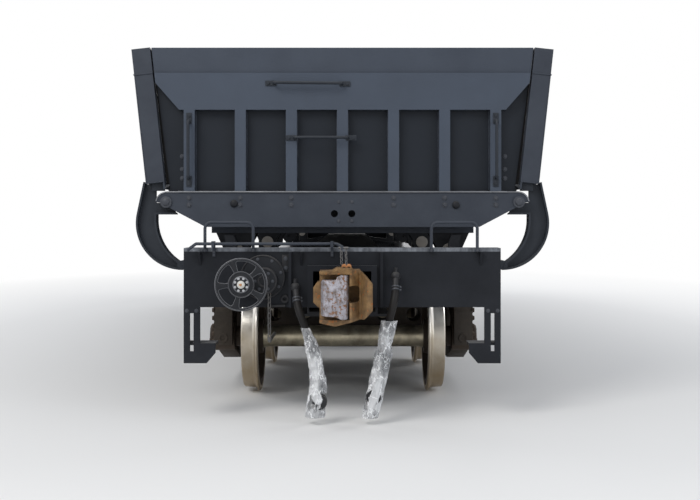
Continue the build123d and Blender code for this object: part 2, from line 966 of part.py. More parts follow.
def arm_cam():
    """Block with a hollow face for the arm's roller, on a web tied to the end beam."""
    mid = -(body_face - arm_slot / 2 - plate)
    cam_centre = Vector(cam_centre_x, mid - 30, cam_centre_z)
    low_x = cam_low_x
    low = (low_x, cam_centre.Z - math.sqrt(cam_radius ** 2 - (cam_centre.X - low_x) ** 2))
    high_z = 1300
    high = (cam_centre.X - math.sqrt(cam_radius ** 2 - (high_z - cam_centre.Z) ** 2), high_z)
    y = cam_centre.Y

    def at(point):
        return (point[0], y, point[1])

    arc = ThreePointArc(at(low), (cam_centre.X - cam_radius, y, cam_centre.Z), at(high))
    rest = Polyline(at(high), (cam_back_x + 20, y, high_z), (cam_back_x, y, high_z - 60),
                    (cam_back_x, y, cam_bottom), (low_x, y, cam_bottom), at(low))
    cam = extrude(make_face([arc] + rest.edges()), amount=60, dir=(0, 1, 0))
    web_x = (cam_back_x, cam_back_x + 20)
    web_y = (-beam_face + beam_depth, mid)
    web = block(web_x, web_y, (cam_bottom, beam_top))
    web += block((cam_back_x, low_x - 30), web_y, (cam_bottom, cam_bottom + 20))
    rib = block(web_x, (-beam_face + plate, -beam_face + beam_depth),
                (beam_bottom + plate, beam_top - beam_flange))
    return fuse([cam, web, rib])


# Tipping body: floor, beams under it, end walls and end crossbeams
side_sill_x = 1230
beam_x = 450
beam_flange_half = 90
bracket_cheeks = saddle_length / 2 + cheek_gap
eye_cheeks = rod_eye_width / 2 + 10
member_bay = (outer_trunnion_y - inner_trunnion_y) / 3
near_members = (600, cylinder_stations[1], inner_trunnion_y, inner_trunnion_y + member_bay,
                outer_trunnion_y - member_bay, outer_trunnion_y)
cross_member_stations = [side * y for y in near_members for side in (-1, 1)]


def trunnion_cheek(y, thickness, bore):
    """Bracket plate hung from the body's beams, round at its lower end."""
    top = body_beam_bottom
    low = Vector(trunnion_x, y, trunnion_z)
    wide = [
        (trunnion_x - 190, top),
        (trunnion_x + 170, top),
        (trunnion_x + cheek_radius, trunnion_z + 20),
        (trunnion_x + cheek_radius, trunnion_z),
        (trunnion_x - cheek_radius, trunnion_z),
        (trunnion_x - cheek_radius, trunnion_z + 20),
    ]
    cheek = plate_y(wide, (y, y + thickness))
    cheek += bar(tuple(low), (trunnion_x, y + thickness, trunnion_z), cheek_radius)
    return cheek - bar((trunnion_x, y - 1, trunnion_z), (trunnion_x, y + thickness + 1, trunnion_z),
                       bore)


def body_beams():
    """Long beams, side sills and cross members under the floor, with their bracket plates."""
    top = floor_bottom
    low = body_beam_bottom
    end = body_beam_end
    pieces = []
    for side in (-1, 1):
        x = side * beam_x
        pieces.append(block((x - 8, x + 8), (-end, end), (low, top)))
        for z in (low, top - plate):
            pieces.append(block((x - beam_flange_half, x + beam_flange_half), (-end, end),
                                (z, z + plate)))
        sill = side * side_sill_x
        edge = sill - side * 12
        pieces.append(block((min(sill, edge), max(sill, edge)), (-end, end), (1480, top)))
    for y in cross_member_stations:
        half = [(0, top), (side_sill_x - 12, top), (side_sill_x - 12, 1490),
                (1000, low), (0, low)]
        pieces.append(plate_y(mirrored_outline(half), (y - 7, y + 7)))
        reach = 60
        if y in trunnion_stations:
            reach = bracket_cheeks + cheek_thickness
        if y in cylinder_stations:
            reach = eye_cheeks + cheek_thickness
        pieces.append(block((-1000, 1000), (y - reach, y + reach), (low, low + plate)))
    beams = fuse(pieces)
    for y in trunnion_stations:
        for near in (y - bracket_cheeks - cheek_thickness, y + bracket_cheeks):
            cheek = trunnion_cheek(near, cheek_thickness, trunnion_radius + running_fit)
            beams = fuse([beams] + both_sides(cheek))
    for y in cylinder_stations:
        for near in (y - eye_cheeks - cheek_thickness, y + eye_cheeks):
            beams = fuse([beams] + both_sides(trunnion_cheek(near, cheek_thickness, 20)))
        pin = bar((trunnion_x, y - eye_cheeks - 1, trunnion_z),
                  (trunnion_x, y + eye_cheeks + 1, trunnion_z), rod_pin_radius)
        beams = fuse([beams] + both_sides(pin))
    return beams


def trunnion_pins(side):
    pins = []
    reach = bracket_cheeks + cheek_thickness + 12
    for y in trunnion_stations:
        pins.append(bar((side * trunnion_x, y - reach, trunnion_z),
                        (side * trunnion_x, y + reach, trunnion_z), trunnion_radius))
    return group(pins)


floor_half_width = hinge_x - 7


def body_floor():
    end = body_face - end_wall_depth
    return block((-floor_half_width, floor_half_width), (-end, end), (floor_bottom, floor_top))


def crossbeam_outline():
    """Half outline of the end crossbeam's webs, out to the rounded hook over the hinge pin."""
    low = crossbeam_bottom
    return [
        (0, low),
        (1000, low),
        (body_half_width, 1462),
        (hinge_x + 50, hinge_z - 2),
        (hinge_x + hook_radius, hinge_z - 2),
        (hinge_x + hook_radius * 0.924, hinge_z + hook_radius * 0.383),
        (hinge_x + hook_radius * 0.707, hinge_z + hook_radius * 0.707),
        (hinge_x + hook_radius * 0.383, hinge_z + hook_radius * 0.924),
        (hinge_x, hinge_z + hook_radius),
        (0, hinge_z + hook_radius),
    ]


def end_crossbeam():
    """Box crossbeam under end wall A with a slot in which the door arms swing."""
    face = -body_face
    back = -crossbeam_back
    outline = mirrored_outline(crossbeam_outline())
    front = plate_y(outline, (face, face + plate))
    rear = plate_y(outline, (back - plate, back))
    deep = (face, -body_beam_end)
    flange_top = hinge_z + hook_radius
    top = block((-hinge_x, hinge_x), deep, (flange_top - 20, flange_top))
    ring = bar((hinge_x, deep[0], hinge_z), (hinge_x, deep[1], hinge_z), hook_radius)
    ring -= bar((hinge_x, deep[0], hinge_z), (hinge_x, deep[1], hinge_z), hook_radius - 18)
    ring = ring & block((hinge_x, hinge_x + 200), deep, (hinge_z - 2, hinge_z + 200))
    chord = block((-975, 975), (back - plate, back), (body_beam_bottom - 60, body_beam_bottom + 40))
    low = block((-700, 700), (face + plate, back - plate), (crossbeam_bottom, crossbeam_bottom + 14))
    pin = bar((hinge_x, face - 12, hinge_z), (hinge_x, back + 10, hinge_z), hinge_pin_radius)
    beam = fuse([front, rear, top, chord, low] + both_sides(ring) + both_sides(pin))
    for x in (-59, 68):
        beam -= bar((x, face, 1457), (x, face + plate, 1457), 26)
    return beam


def door_point(out, up):
    """X and Z of a point measured out from the door's inner face and up along it."""
    x = door_inner_bottom_x + out * math.cos(tilt) + up * math.sin(tilt)
    z = door_bottom_z - out * math.sin(tilt) + up * math.cos(tilt)
    return (x, z)


def end_wall():
    """Recessed end plate with posts, the wide band and the top chord on its outer side."""
    face = -body_face
    skin_front = face + end_wall_depth
    foot_x = door_point(-door_stop_gap, (floor_bottom - door_bottom_z) / math.cos(tilt))[0]
    head_x = door_point(-door_stop_gap, door_height)[0]
    skin = plate_y([(-foot_x + 20, floor_bottom), (foot_x - 20, floor_bottom), (head_x, body_top),
                    (-head_x, body_top)], (skin_front - plate, skin_front))
    band = [
        (0, band_bottom),
        (1193, band_bottom),
        (1366, 2412),
        (head_x - 26, band_top),
        (0, band_top),
    ]
    pieces = [skin, plate_y(mirrored_outline(band), (face, skin_front - plate))]
    chord_foot = door_point(-door_stop_gap - 2, (band_top - door_bottom_z) / math.cos(tilt))[0]
    chord = [(0, band_top), (chord_foot, band_top), (head_x - 2, body_top), (0, body_top)]
    pieces.append(plate_y(mirrored_outline(chord), (face + 22, skin_front - plate)))
    for k in range(-post_half_count, post_half_count + 1):
        x = k * post_spacing
        pieces.append(block((x - post_width / 2, x + post_width / 2), (face, skin_front - plate),
                            (floor_bottom, band_bottom)))
    return fuse(pieces)


iron_radius = 11


def end_grab_irons():
    """Grab irons bolted to both end walls: two across and one up each outer post."""
    irons = []
    y = -body_face
    out = y - 55
    runs = (
        ((-500, 2408), (-5, 2403)),
        ((-350, 2010), (40, 2010)),
        ((-1119, 1715), (-1119, 2130)),
        ((1119, 1715), (1119, 2130)),
    )
    for low, high in runs:
        points = [(low[0], y, low[1]), (low[0], out, low[1]), (high[0], out, high[1]),
                  (high[0], y, high[1])]
        irons += both_ends(bent_bar(points, iron_radius, 25))
    return group(irons)


# Side doors
chord_height = 187
rail_low = 187 + 265
door_bottom_chord = 110
rib_width = 90
rib_depth = 100


def door():
    """Right-hand side door: skin, ribs, chords and end plates, built upright and then leaned out."""
    half = door_half_length
    height = door_height
    thick = door_thickness
    skin_foot = -(door_bottom_z - floor_top - 9) / math.cos(tilt)
    pieces = [
        block((0, door_skin), (-half, half), (skin_foot, height)),
        block((door_skin, thick), (-half, half), (height - chord_height, height)),
        block((door_skin, thick - 12), (-half, half), (0, door_bottom_chord)),
        block((door_skin, thick - 26), (-half, half), (height - rail_low, height - rail_low + 90)),
    ]
    for side in (-1, 1):
        edge = side * half
        inner = edge - side * 14
        pieces.append(block((door_skin, thick), (min(edge, inner), max(edge, inner)), (0, height)))
    first = -door_rib_pitch * (door_rib_count - 1) / 2
    for k in range(door_rib_count):
        y = first + k * door_rib_pitch
        pieces.append(block((door_skin, door_skin + rib_depth), (y - rib_width / 2, y + rib_width / 2),
                            (door_bottom_chord, height - chord_height)))
    upright = fuse(pieces)
    leaned = Plane(origin=(door_inner_bottom_x, 0, door_bottom_z),
                   x_dir=(math.cos(tilt), 0, -math.sin(tilt)),
                   z_dir=(math.sin(tilt), 0, math.cos(tilt)))
    return leaned.location * upright


hinge_stations = (-4100, -2050, 0, 2050, 4100)
lug_thickness = 50
hinge_cheek = 20


def door_hinge_lugs():
    """Lugs under the right-hand door that turn on the body's hinge pins."""
    lugs = []
    inner_foot = door_point(door_skin, 0)
    outer_foot = door_point(door_thickness - 50, 0)
    for y in hinge_stations:
        span = (y - lug_thickness / 2, y + lug_thickness / 2)
        outline = [
            inner_foot,
            outer_foot,
            (hinge_x + hinge_boss_radius, hinge_z),
            (hinge_x, hinge_z - 10),
            (hinge_x - 8, hinge_z + 20),
            (hinge_x + 20, hinge_z + 50),
        ]
        lug = plate_y(outline, span)
        lug += bar((hinge_x, span[0], hinge_z), (hinge_x, span[1], hinge_z), hinge_boss_radius)
        lug -= bar((hinge_x, span[0] - 1, hinge_z), (hinge_x, span[1] + 1, hinge_z),
                   hinge_pin_radius + running_fit)
        lugs.append(lug)
    return lugs


def body_hinges():
    """Cheeks and pins along the side sills for the doors' lugs."""
    pieces = []
    for y in hinge_stations:
        for side in (-1, 1):
            near = y + side * (lug_thickness / 2 + 6)
            far = near + side * hinge_cheek
            span = (min(near, far), max(near, far))
            cheek = plate_y([(side_sill_x, hinge_z + 40), (side_sill_x, hinge_z - 55),
                             (hinge_x, hinge_z - 38), (hinge_x + 38, hinge_z),
                             (hinge_x, hinge_z + 38)], span)
            pieces.append(cheek)
        reach = lug_thickness / 2 + 6 + hinge_cheek + 8
        pin = bar((hinge_x, y - reach, hinge_z), (hinge_x, y + reach, hinge_z), hinge_pin_radius)
        pieces.append(pin)
    whole = []
    for k in range(0, len(pieces), 3):
        whole += both_sides(fuse(pieces[k:k + 3]))
    return group(whole)


# Door arms
toe_angle = -90
inner_arc = ((1366, 1400), (1323, 1240), (1190, 1100))
heel_z = 1451
web_inner_x = 1222


def door_arm():
    """Curved elbow arm at end A of the right-hand door: thin web with plates along its edges."""
    y = -(body_face - plate - arm_slot / 2)
    cx = arm_centre_x
    cz = arm_centre_z
    reach = math.hypot(arm_top_x - cx, arm_top_z - cz)
    start = math.atan2(arm_top_z - cz, arm_top_x - cx) - math.acos(arm_radius / reach)
    toe = math.radians(toe_angle)

    def rim(angle, radius):
        return (cx + radius * math.cos(angle), cz + radius * math.sin(angle))

    def shape(runs, low, width):
        edges = []
        for run in runs:
            points = [(px, low, pz) for px, pz in run]
            edges.append(Line(*points) if len(points) == 2 else ThreePointArc(*points))
        return extrude(make_face(edges), amount=width, dir=(0, 1, 0))

    def rounded(radius, end):
        return (rim(start, radius), rim((start + end) / 2, radius), rim(end, radius))

    outer = rounded(arm_radius, toe)
    top = (arm_top_x, arm_top_z)
    door_outer = door_point(door_thickness, 0)
    neck_x = hinge_x + hook_radius + 12
    door_neck = door_point((neck_x - door_inner_bottom_x) / math.cos(tilt), 0)
    heel, belly, toe_in = inner_arc
    boss_edge = hinge_x - hinge_boss_radius + 8
    boss_low = (hinge_x + hinge_boss_radius - 4, hinge_z - 4)
    arm = shape([
        (top, outer[0]),
        outer,
        (outer[2], toe_in),
        (toe_in, belly, heel),
        (heel, (heel[0], heel_z)),
        ((heel[0], heel_z), (web_inner_x, heel_z)),
        ((web_inner_x, heel_z), (boss_edge, hinge_z - 8)),
        ((boss_edge, hinge_z - 8), boss_low),
        (boss_low, (door_neck[0], hinge_z - 4)),
        ((door_neck[0], hinge_z - 4), door_neck),
        (door_neck, door_outer),
        (door_outer, top),
    ], y - arm_width / 2, arm_width)

    inner_centre = inner_arc_centre()
    inner_radius = math.dist(inner_centre, heel)

    def inset(point, turn):
        """Point on the inner edge, moved round it by a turn and into the arm by the plate."""
        angle = math.atan2(point[1] - inner_centre[1], point[0] - inner_centre[0]) + turn
        radius = inner_radius + arm_plate
        return (inner_centre[0] + radius * math.cos(angle),
                inner_centre[1] + radius * math.sin(angle))

    under = rounded(arm_radius - arm_plate, toe + arm_plate / arm_radius)
    along = (top[0] - outer[0][0], top[1] - outer[0][1])
    past_top = (under[0][0] + 2 * along[0], under[0][1] + 2 * along[1])
    toe_inset = inset(toe_in, arm_plate / inner_radius)
    heel_inset = (heel[0] + arm_plate, heel_z + arm_plate)
    heel_low = inset(heel, 0)
    past_heel = (web_inner_x - 40, heel_inset[1])
    pocket = [
        (past_top, under[0]),
        under,
        (under[2], toe_inset),
        (toe_inset, inset(belly, 0), heel_low),
        (heel_low, heel_inset),
        (heel_inset, past_heel),
        (past_heel, (past_heel[0], past_top[1])),
        ((past_heel[0], past_top[1]), past_top),
    ]
    depth = (arm_width - arm_plate) / 2
    arm -= shape(pocket, y - arm_width / 2, depth)
    arm -= shape(pocket, y + arm_width / 2 - depth, depth)
    boss = bar((hinge_x, y - arm_width / 2, hinge_z), (hinge_x, y + arm_width / 2, hinge_z),
               hinge_boss_radius)
    roller_x = arm_centre_x + 7
    roller_z = arm_centre_z - arm_radius + arm_roller_radius + 2
    roller = bar((roller_x, y - arm_width / 2 + 2, roller_z),
                 (roller_x, y + arm_width / 2 - 2, roller_z), arm_roller_radius)
    return arm + boss + roller - bar((hinge_x, y - arm_width, hinge_z),
                                     (hinge_x, y + arm_width, hinge_z),
                                     hinge_pin_radius + running_fit)


def inner_arc_centre():
    """Centre of the circle through the three points of the arm's inner edge."""
    (ax, az), (bx, bz), (cx, cz) = inner_arc
    d = 2 * (ax * (bz - cz) + bx * (cz - az) + cx * (az - bz))
    a = ax ** 2 + az ** 2
    b = bx ** 2 + bz ** 2
    c = cx ** 2 + cz ** 2
    x = (a * (bz - cz) + b * (cz - az) + c * (az - bz)) / d
    z = (a * (cx - bx) + b * (ax - cx) + c * (bx - ax)) / d
    return (x, z)


def door_arms():
    return both_ends(door_arm())


# Dump cylinders: barrel, sleeve and rod on one leaning line from the pivot to the rod's pin
barrel_top = 62
barrel_length = 742
sleeve_top = 74
sleeve_length = 712
rod_length = 690
sleeve_radius = barrel_radius - barrel_wall - slide_gap
rod_radius = sleeve_radius - sleeve_wall - slide_gap
lean = math.atan2(trunnion_x - cylinder_pivot_x, trunnion_z - cylinder_pivot_z)
eye_distance = math.hypot(trunnion_x - cylinder_pivot_x, trunnion_z - cylinder_pivot_z)


def leaned_cylinder(piece, y):
    """Place a piece drawn upright about the pivot on the right-hand cylinder's line."""
    place = Plane(origin=(cylinder_pivot_x, y, cylinder_pivot_z),
                  x_dir=(math.cos(lean), 0, -math.sin(lean)),
                  z_dir=(math.sin(lean), 0, math.cos(lean)))
    return place.location * piece


def barrels():
    low = barrel_top - barrel_length
    tube = bar((0, 0, low), (0, 0, barrel_top), barrel_radius)
    tube -= bar((0, 0, low + 20), (0, 0, barrel_top), barrel_radius - barrel_wall)
    tube += bar((0, 0, low - 18), (0, 0, low), barrel_radius * 0.75)
    collar = bar((0, 0, -55), (0, 0, 55), barrel_radius + 14)
    collar -= bar((0, 0, -55), (0, 0, 55), barrel_radius - 1)
    reach = barrel_radius + cradle_gap + cradle_plate + 10
    stub = bar((0, barrel_radius - 4, 0), (0, reach, 0), trunnion_stub)
    tube = fuse([tube, collar, stub, mirror(stub, Plane.XZ)])
    return [leaned_cylinder(tube, y) for y in cylinder_stations]


def sleeves():
    low = sleeve_top - sleeve_length
    tube = bar((0, 0, low), (0, 0, sleeve_top), sleeve_radius)
    tube -= bar((0, 0, low), (0, 0, sleeve_top), sleeve_radius - sleeve_wall)
    return [leaned_cylinder(tube, y) for y in cylinder_stations]


def rods():
    low = eye_distance - rod_length
    rod = bar((0, 0, low), (0, 0, eye_distance - rod_eye_radius - 20), rod_radius)
    half = rod_eye_width / 2
    neck = bar((0, 0, eye_distance - rod_eye_radius - 20), (0, 0, eye_distance - 40), half - 2)
    eye = bar((0, -half, eye_distance), (0, half, eye_distance), rod_eye_radius)
    eye += bar((0, -half, eye_distance + rod_eye_slot), (0, half, eye_distance + rod_eye_slot),
               rod_eye_radius)
    eye += block((-rod_eye_radius, rod_eye_radius), (-half, half),
                 (eye_distance, eye_distance + rod_eye_slot))
    bore = rod_pin_radius + rod_eye_clearance
    slot = bar((0, -half, eye_distance), (0, half, eye_distance), bore)
    slot += bar((0, -half, eye_distance + rod_eye_slot), (0, half, eye_distance + rod_eye_slot),
                bore)
    slot += block((-bore, bore), (-half, half), (eye_distance, eye_distance + rod_eye_slot))
    whole = rod + neck + eye - slot
    return [leaned_cylinder(whole, y) for y in cylinder_stations]


def left(pieces):
    """Mirror a list of right-hand pieces to the left of the car."""
    return [mirror(piece, Plane.YZ) for piece in pieces]


def far(piece):
    """The same piece turned round to stand at end B."""
    return Rot(0, 0, 180) * piece


half_base = wheelbase / 2
bogie_y = bogie_spacing / 2
nodes = {
    "centre_sill": centre_sill(),
    "end_beam_a": end_beam(),
    "end_beam_b": mirror(end_beam(), Plane.XZ),
    "corner_steps": group([p for s in both_sides(corner_step()) for p in both_ends(s)]),
    "cross_bearers": cross_bearers(),
    "arm_cams": group([p for s in both_sides(arm_cam()) for p in both_ends(s)]),
    "coupler_a": coupler(),
    "coupler_b": far(coupler()),
    "knuckles": group([knuckle(), far(knuckle())]),
    "cut_levers": cut_levers(),
    "beam_grab_rails": beam_grab_rails(),
    "brake_handwheel": handwheel(),
    "brake_gear_case": brake_gear_case(),
    "brake_chain": brake_chain(),
    "air_reservoirs": air_reservoirs(),
    "brake_cylinder": brake_cylinder(),
    "control_valve": control_valve(),
    "train_pipes": train_pipes(),
    "angle_cocks": angle_cocks(),
    "hose_left": hose(left_hose_route),
    "hose_right": hose(right_hose_route),
    "gladhand_left": gladhand(left_hose_route),
    "gladhand_right": gladhand(right_hose_route),
    "right_trunnion_pins": trunnion_pins(1),
    "left_trunnion_pins": trunnion_pins(-1),
    "body_beams": body_beams(),
    "body_floor": body_floor(),
    "body_hinges": body_hinges(),
    "end_crossbeam_a": end_crossbeam(),
    "end_crossbeam_b": mirror(end_crossbeam(), Plane.XZ),
    "end_wall_a": end_wall(),
    "end_wall_b": mirror(end_wall(), Plane.XZ),
    "end_grab_irons": end_grab_irons(),
    "door_right": door(),
    "door_left": mirror(door(), Plane.YZ),
    "door_arms_right": group(door_arms()),
    "door_arms_left": group(left(door_arms())),
    "door_lugs_right": group(door_hinge_lugs()),
    "door_lugs_left": group(left(door_hinge_lugs())),
    "barrels_right": group(barrels()),
    "barrels_left": group(left(barrels())),
    "sleeves_right": group(sleeves()),
    "sleeves_left": group(left(sleeves())),
    "rods_right": group(rods()),
    "rods_left": group(left(rods())),
}
for name, centre in (("a", -bogie_y), ("b", bogie_y)):
    nodes["side_frames_" + name] = side_frames(centre)
    nodes["axle_boxes_" + name] = axle_boxes(centre)
    nodes["bogie_bolster_" + name] = bogie_bolster(centre)
    nodes["springs_" + name] = springs(centre)
    nodes["brake_beams_" + name] = brake_beams(centre)
    nodes["wheelset_outer_" + name] = wheelset(math.copysign(abs(centre) + half_base, centre))
    nodes["wheelset_inner_" + name] = wheelset(math.copysign(abs(centre) - half_base, centre))

os.makedirs("parts", exist_ok=True)
for name, shape in nodes.items():
    export_step(shape, "parts/" + name + ".step")
print(len(nodes), "nodes written")
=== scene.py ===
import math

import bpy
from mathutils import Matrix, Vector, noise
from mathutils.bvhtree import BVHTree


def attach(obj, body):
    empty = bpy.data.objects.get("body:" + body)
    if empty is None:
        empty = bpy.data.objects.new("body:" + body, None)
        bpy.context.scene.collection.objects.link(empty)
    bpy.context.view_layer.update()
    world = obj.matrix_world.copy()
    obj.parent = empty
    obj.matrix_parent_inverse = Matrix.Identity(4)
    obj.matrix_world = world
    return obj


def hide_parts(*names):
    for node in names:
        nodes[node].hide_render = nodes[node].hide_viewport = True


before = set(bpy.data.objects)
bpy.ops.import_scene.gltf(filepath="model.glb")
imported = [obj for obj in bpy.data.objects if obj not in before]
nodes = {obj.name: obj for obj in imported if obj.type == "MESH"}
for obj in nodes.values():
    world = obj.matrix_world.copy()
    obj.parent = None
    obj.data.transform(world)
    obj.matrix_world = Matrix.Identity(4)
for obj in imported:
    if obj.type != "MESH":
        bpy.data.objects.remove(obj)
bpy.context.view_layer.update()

# %% [markdown]
# A side dump car, dressed. The welded steel car is already here as named CAD nodes that sit
# on moving bodies. This lesson keeps the nodes whose shape is right and gives them finishes,
# and models by hand what is welded or fitted on: bolts, springs, chains, castings, hoses.
# Everything is in metres. X runs across the track, Y along it, Z up.

# %% [markdown]
# The camera comes first, because every later choice is judged through it. The photograph looks
# level along the track at end A, a little right of the middle and at chest height, so the lens
# stays level and a small shift puts the horizon at its row of the picture.

# %% Camera at the photograph's place
eye_place = (0.055, -13.6, 1.418)
lens_length = 54.9
horizon_row, middle_row, picture_width = 219, 250, 700

camera_data = bpy.data.cameras.new("end_view")
camera_data.lens = lens_length
camera_data.sensor_width = 36
camera_data.shift_y = (horizon_row - middle_row) / picture_width
camera_data.clip_end = 200
camera = bpy.data.objects.new("end_view", camera_data)
bpy.context.scene.collection.objects.link(camera)
camera.location = eye_place
camera.rotation_euler = (math.radians(90), 0, 0)
bpy.context.scene.camera = camera
print("camera", tuple(camera.location), "lens", camera_data.lens)

# %% [markdown]
# Floor, world and finishes are all graphs of nodes. In Python every node takes a few lines, so
# these helpers add the nodes and feed their sockets with numbers, colours or other nodes.
# Patterns read Object coordinates, so they stay on a piece when its body moves.


# %% Helpers: one node and what feeds it
def feed(tree, socket, value):
    """Gives a socket its value: a link from another node's socket, or a constant."""
    if isinstance(value, bpy.types.NodeSocket):
        tree.links.new(value, socket)
    else:
        socket.default_value = value


def new_node(tree, kind, **settings):
    """A shader node of a kind, with its settings."""
    made = tree.nodes.new("ShaderNode" + kind)
    for setting, value in settings.items():
        setattr(made, setting, value)
    return made


def math_node(tree, operation, first, second=0.5, clamp=False):
    """A Math node fed by sockets or numbers."""
    made = new_node(tree, "Math", operation=operation, use_clamp=clamp)
    feed(tree, made.inputs[0], first)
    feed(tree, made.inputs[1], second)
    return made.outputs[0]


def span(tree, value, low, high, to_low=0.0, to_high=1.0):
    """A clamped Map Range from low..high to another range."""
    made = new_node(tree, "MapRange")
    for place, given in enumerate((value, low, high, to_low, to_high)):
        feed(tree, made.inputs[place], given)
    return made.outputs[0]


def mix_color(tree, share, first, second):
    """A Mix node for colours: first where the share is 0, second where it is 1."""
    made = new_node(tree, "Mix", data_type="RGBA")
    for place, given in ((0, share), (6, first), (7, second)):
        feed(tree, made.inputs[place], given)
    return made.outputs[2]


# %% Helpers: places and patterns on a piece
def axis_of(tree, axis):
    """One coordinate on the piece, in metres."""
    parts = new_node(tree, "SeparateXYZ")
    feed(tree, parts.inputs[0], new_node(tree, "TexCoord").outputs["Object"])
    return parts.outputs[axis]


def distance(tree, first, second):
    """The length of two steps at right angles."""
    squares = [math_node(tree, "MULTIPLY", step, step) for step in (first, second)]
    return math_node(tree, "SQRT", math_node(tree, "ADD", *squares))


def noise_node(tree, scale, detail=4.0, roughness=0.55, stretch=None):
    """Noise on Object coordinates; stretch squeezes it on each axis."""
    where = new_node(tree, "TexCoord").outputs["Object"]
    if stretch:
        squeeze = new_node(tree, "Mapping")
        feed(tree, squeeze.inputs["Scale"], stretch)
        feed(tree, squeeze.inputs["Vector"], where)
        where = squeeze.outputs["Vector"]
    made = new_node(tree, "TexNoise")
    for socket, given in (("Vector", where), ("Scale", scale), ("Detail", detail),
                          ("Roughness", roughness)):
        feed(tree, made.inputs[socket], given)
    return made.outputs["Fac"]


# %% Helpers: materials, and what the camera sees behind the car
def principled(name, color, roughness, metallic=0.0):
    """A new material with its node tree and its Principled shader, whose constants are set."""
    material = bpy.data.materials.new(name)
    material.use_nodes = True
    tree = material.node_tree
    shader = tree.nodes["Principled BSDF"]
    for socket, value in (("Base Color", (*color, 1)), ("Roughness", roughness),
                          ("Metallic", metallic)):
        feed(tree, shader.inputs[socket], value)
    return material, tree, shader


def seeing_rays(tree):
    """1 for the rays that show the surroundings: camera, glossy and transmission rays."""
    path = new_node(tree, "LightPath")
    seen = path.outputs["Is Camera Ray"]
    for ray in ("Is Glossy Ray", "Is Transmission Ray"):
        seen = math_node(tree, "MAXIMUM", seen, path.outputs[ray])
    return seen


def mix_shaders(tree, share, first, second, end):
    """Sends a mix of two shaders to the tree's end node: the second where the share is 1."""
    mixed = new_node(tree, "MixShader")
    for place, given in enumerate((share, first, second)):
        feed(tree, mixed.inputs[place], given)
    feed(tree, tree.nodes[end].inputs["Surface"], mixed.outputs[0])


# %% [markdown]
# A plain pale floor keeps the shadow and says how the car stands. Away from the car it fades to
# the world's white, in an oval that is longer along the track. The world is a soft grey light, and
# its white is only what the camera and the reflections see, so the paint isn't washed out. Five
# large soft lamps light all sides.

# %% Floor that fades to the world's white
floor_size = 240
fade_start, fade_end, oval = 4.6, 10.0, 1.8

bpy.ops.object.select_all(action="DESELECT")
bpy.ops.mesh.primitive_plane_add(size=floor_size, location=(0, 0, 0))
floor = bpy.context.active_object
floor.name = "studio_floor"
floor_material, floor_tree, floor_shader = principled("pale_floor", (0.80, 0.80, 0.79), 0.9)
floor.data.materials.append(floor_material)

away = distance(floor_tree, axis_of(floor_tree, "X"),
                math_node(floor_tree, "DIVIDE", axis_of(floor_tree, "Y"), oval))
far = math_node(floor_tree, "MULTIPLY", span(floor_tree, away, fade_start, fade_end),
                seeing_rays(floor_tree))
glow = new_node(floor_tree, "Emission")
feed(floor_tree, glow.inputs["Color"], (1, 1, 1, 1))
feed(floor_tree, glow.inputs["Strength"], 1.0)
mix_shaders(floor_tree, far, floor_shader.outputs[0], glow.outputs[0], "Material Output")
print("floor fades from", fade_start, "to", fade_end, "m")

# %% World
world = bpy.data.worlds.new("studio")
bpy.context.scene.world = world
world.use_nodes = True
sky = world.node_tree
grey_light = sky.nodes["Background"]
white = new_node(sky, "Background")
for background, color, strength in ((grey_light, (0.90, 0.93, 1.0, 1), 0.55),
                                    (white, (1, 1, 1, 1), 1.0)):
    feed(sky, background.inputs["Color"], color)
    feed(sky, background.inputs["Strength"], strength)
mix_shaders(sky, seeing_rays(sky), grey_light.outputs[0], white.outputs[0], "World Output")
bpy.context.scene.view_settings.view_transform = "Standard"
print("world:", world.name)


# %% Lamps
def lamp(name, place, target, size, power, color=(1, 1, 1)):
    """A soft square lamp that points from its place at a target."""
    data = bpy.data.lights.new(name, "AREA")
    data.size = size
    data.energy = power
    data.color = color
    lit = bpy.data.objects.new(name, data)
    bpy.context.scene.collection.objects.link(lit)
    lit.location = place
    lit.rotation_euler = (Vector(target) - Vector(place)).to_track_quat("-Z", "Y").to_euler()


lamp("key", (-6, -14, 10), (0, -4, 1.2), 6, 820, (1.0, 0.98, 0.95))
lamp("fill", (9, -13, 5), (0, -5, 1.2), 6, 260, (0.93, 0.96, 1.0))
lamp("side_left", (-13, 2, 8), (0, 0, 1.2), 7, 520)
lamp("side_right", (13, 3, 8), (0, 0, 1.2), 7, 520)
lamp("back", (3, 15, 9), (0, 4, 1.2), 6, 560)

# %% [markdown]
# Most of the car wears one paint, but no painted wagon is one flat colour. Dust lies on ledges and
# near the ground, the paint's film is slightly uneven, and rust or bare steel shows in chips.
# Each of these effects is a node group with named sockets, so every finish below can reuse it.


# %% Helpers for shader groups
def new_group(name, inputs, outputs):
    """A shader group with typed, named sockets; returns its tree and its two end nodes."""
    tree = bpy.data.node_groups.new(name, "ShaderNodeTree")
    for socket, kind, value in inputs:
        made = tree.interface.new_socket(socket, in_out="INPUT", socket_type="NodeSocket" + kind)
        made.default_value = value
    for socket, kind in outputs:
        tree.interface.new_socket(socket, in_out="OUTPUT", socket_type="NodeSocket" + kind)
    return tree, tree.nodes.new("NodeGroupInput"), tree.nodes.new("NodeGroupOutput")


def color_by_mask(tree, out, mask, first, second):
    """Puts out a mask, and two colours mixed by it."""
    feed(tree, out.inputs["Color"], mix_color(tree, mask, first, second))
    feed(tree, out.inputs["Mask"], mask)


def use_group(tree, group, **values):
    """Places a group in a material, its sockets fed by name."""
    made = new_node(tree, "Group", node_tree=group)
    for name, value in values.items():
        feed(tree, made.inputs[name.replace("_", " ")], value)
    return made


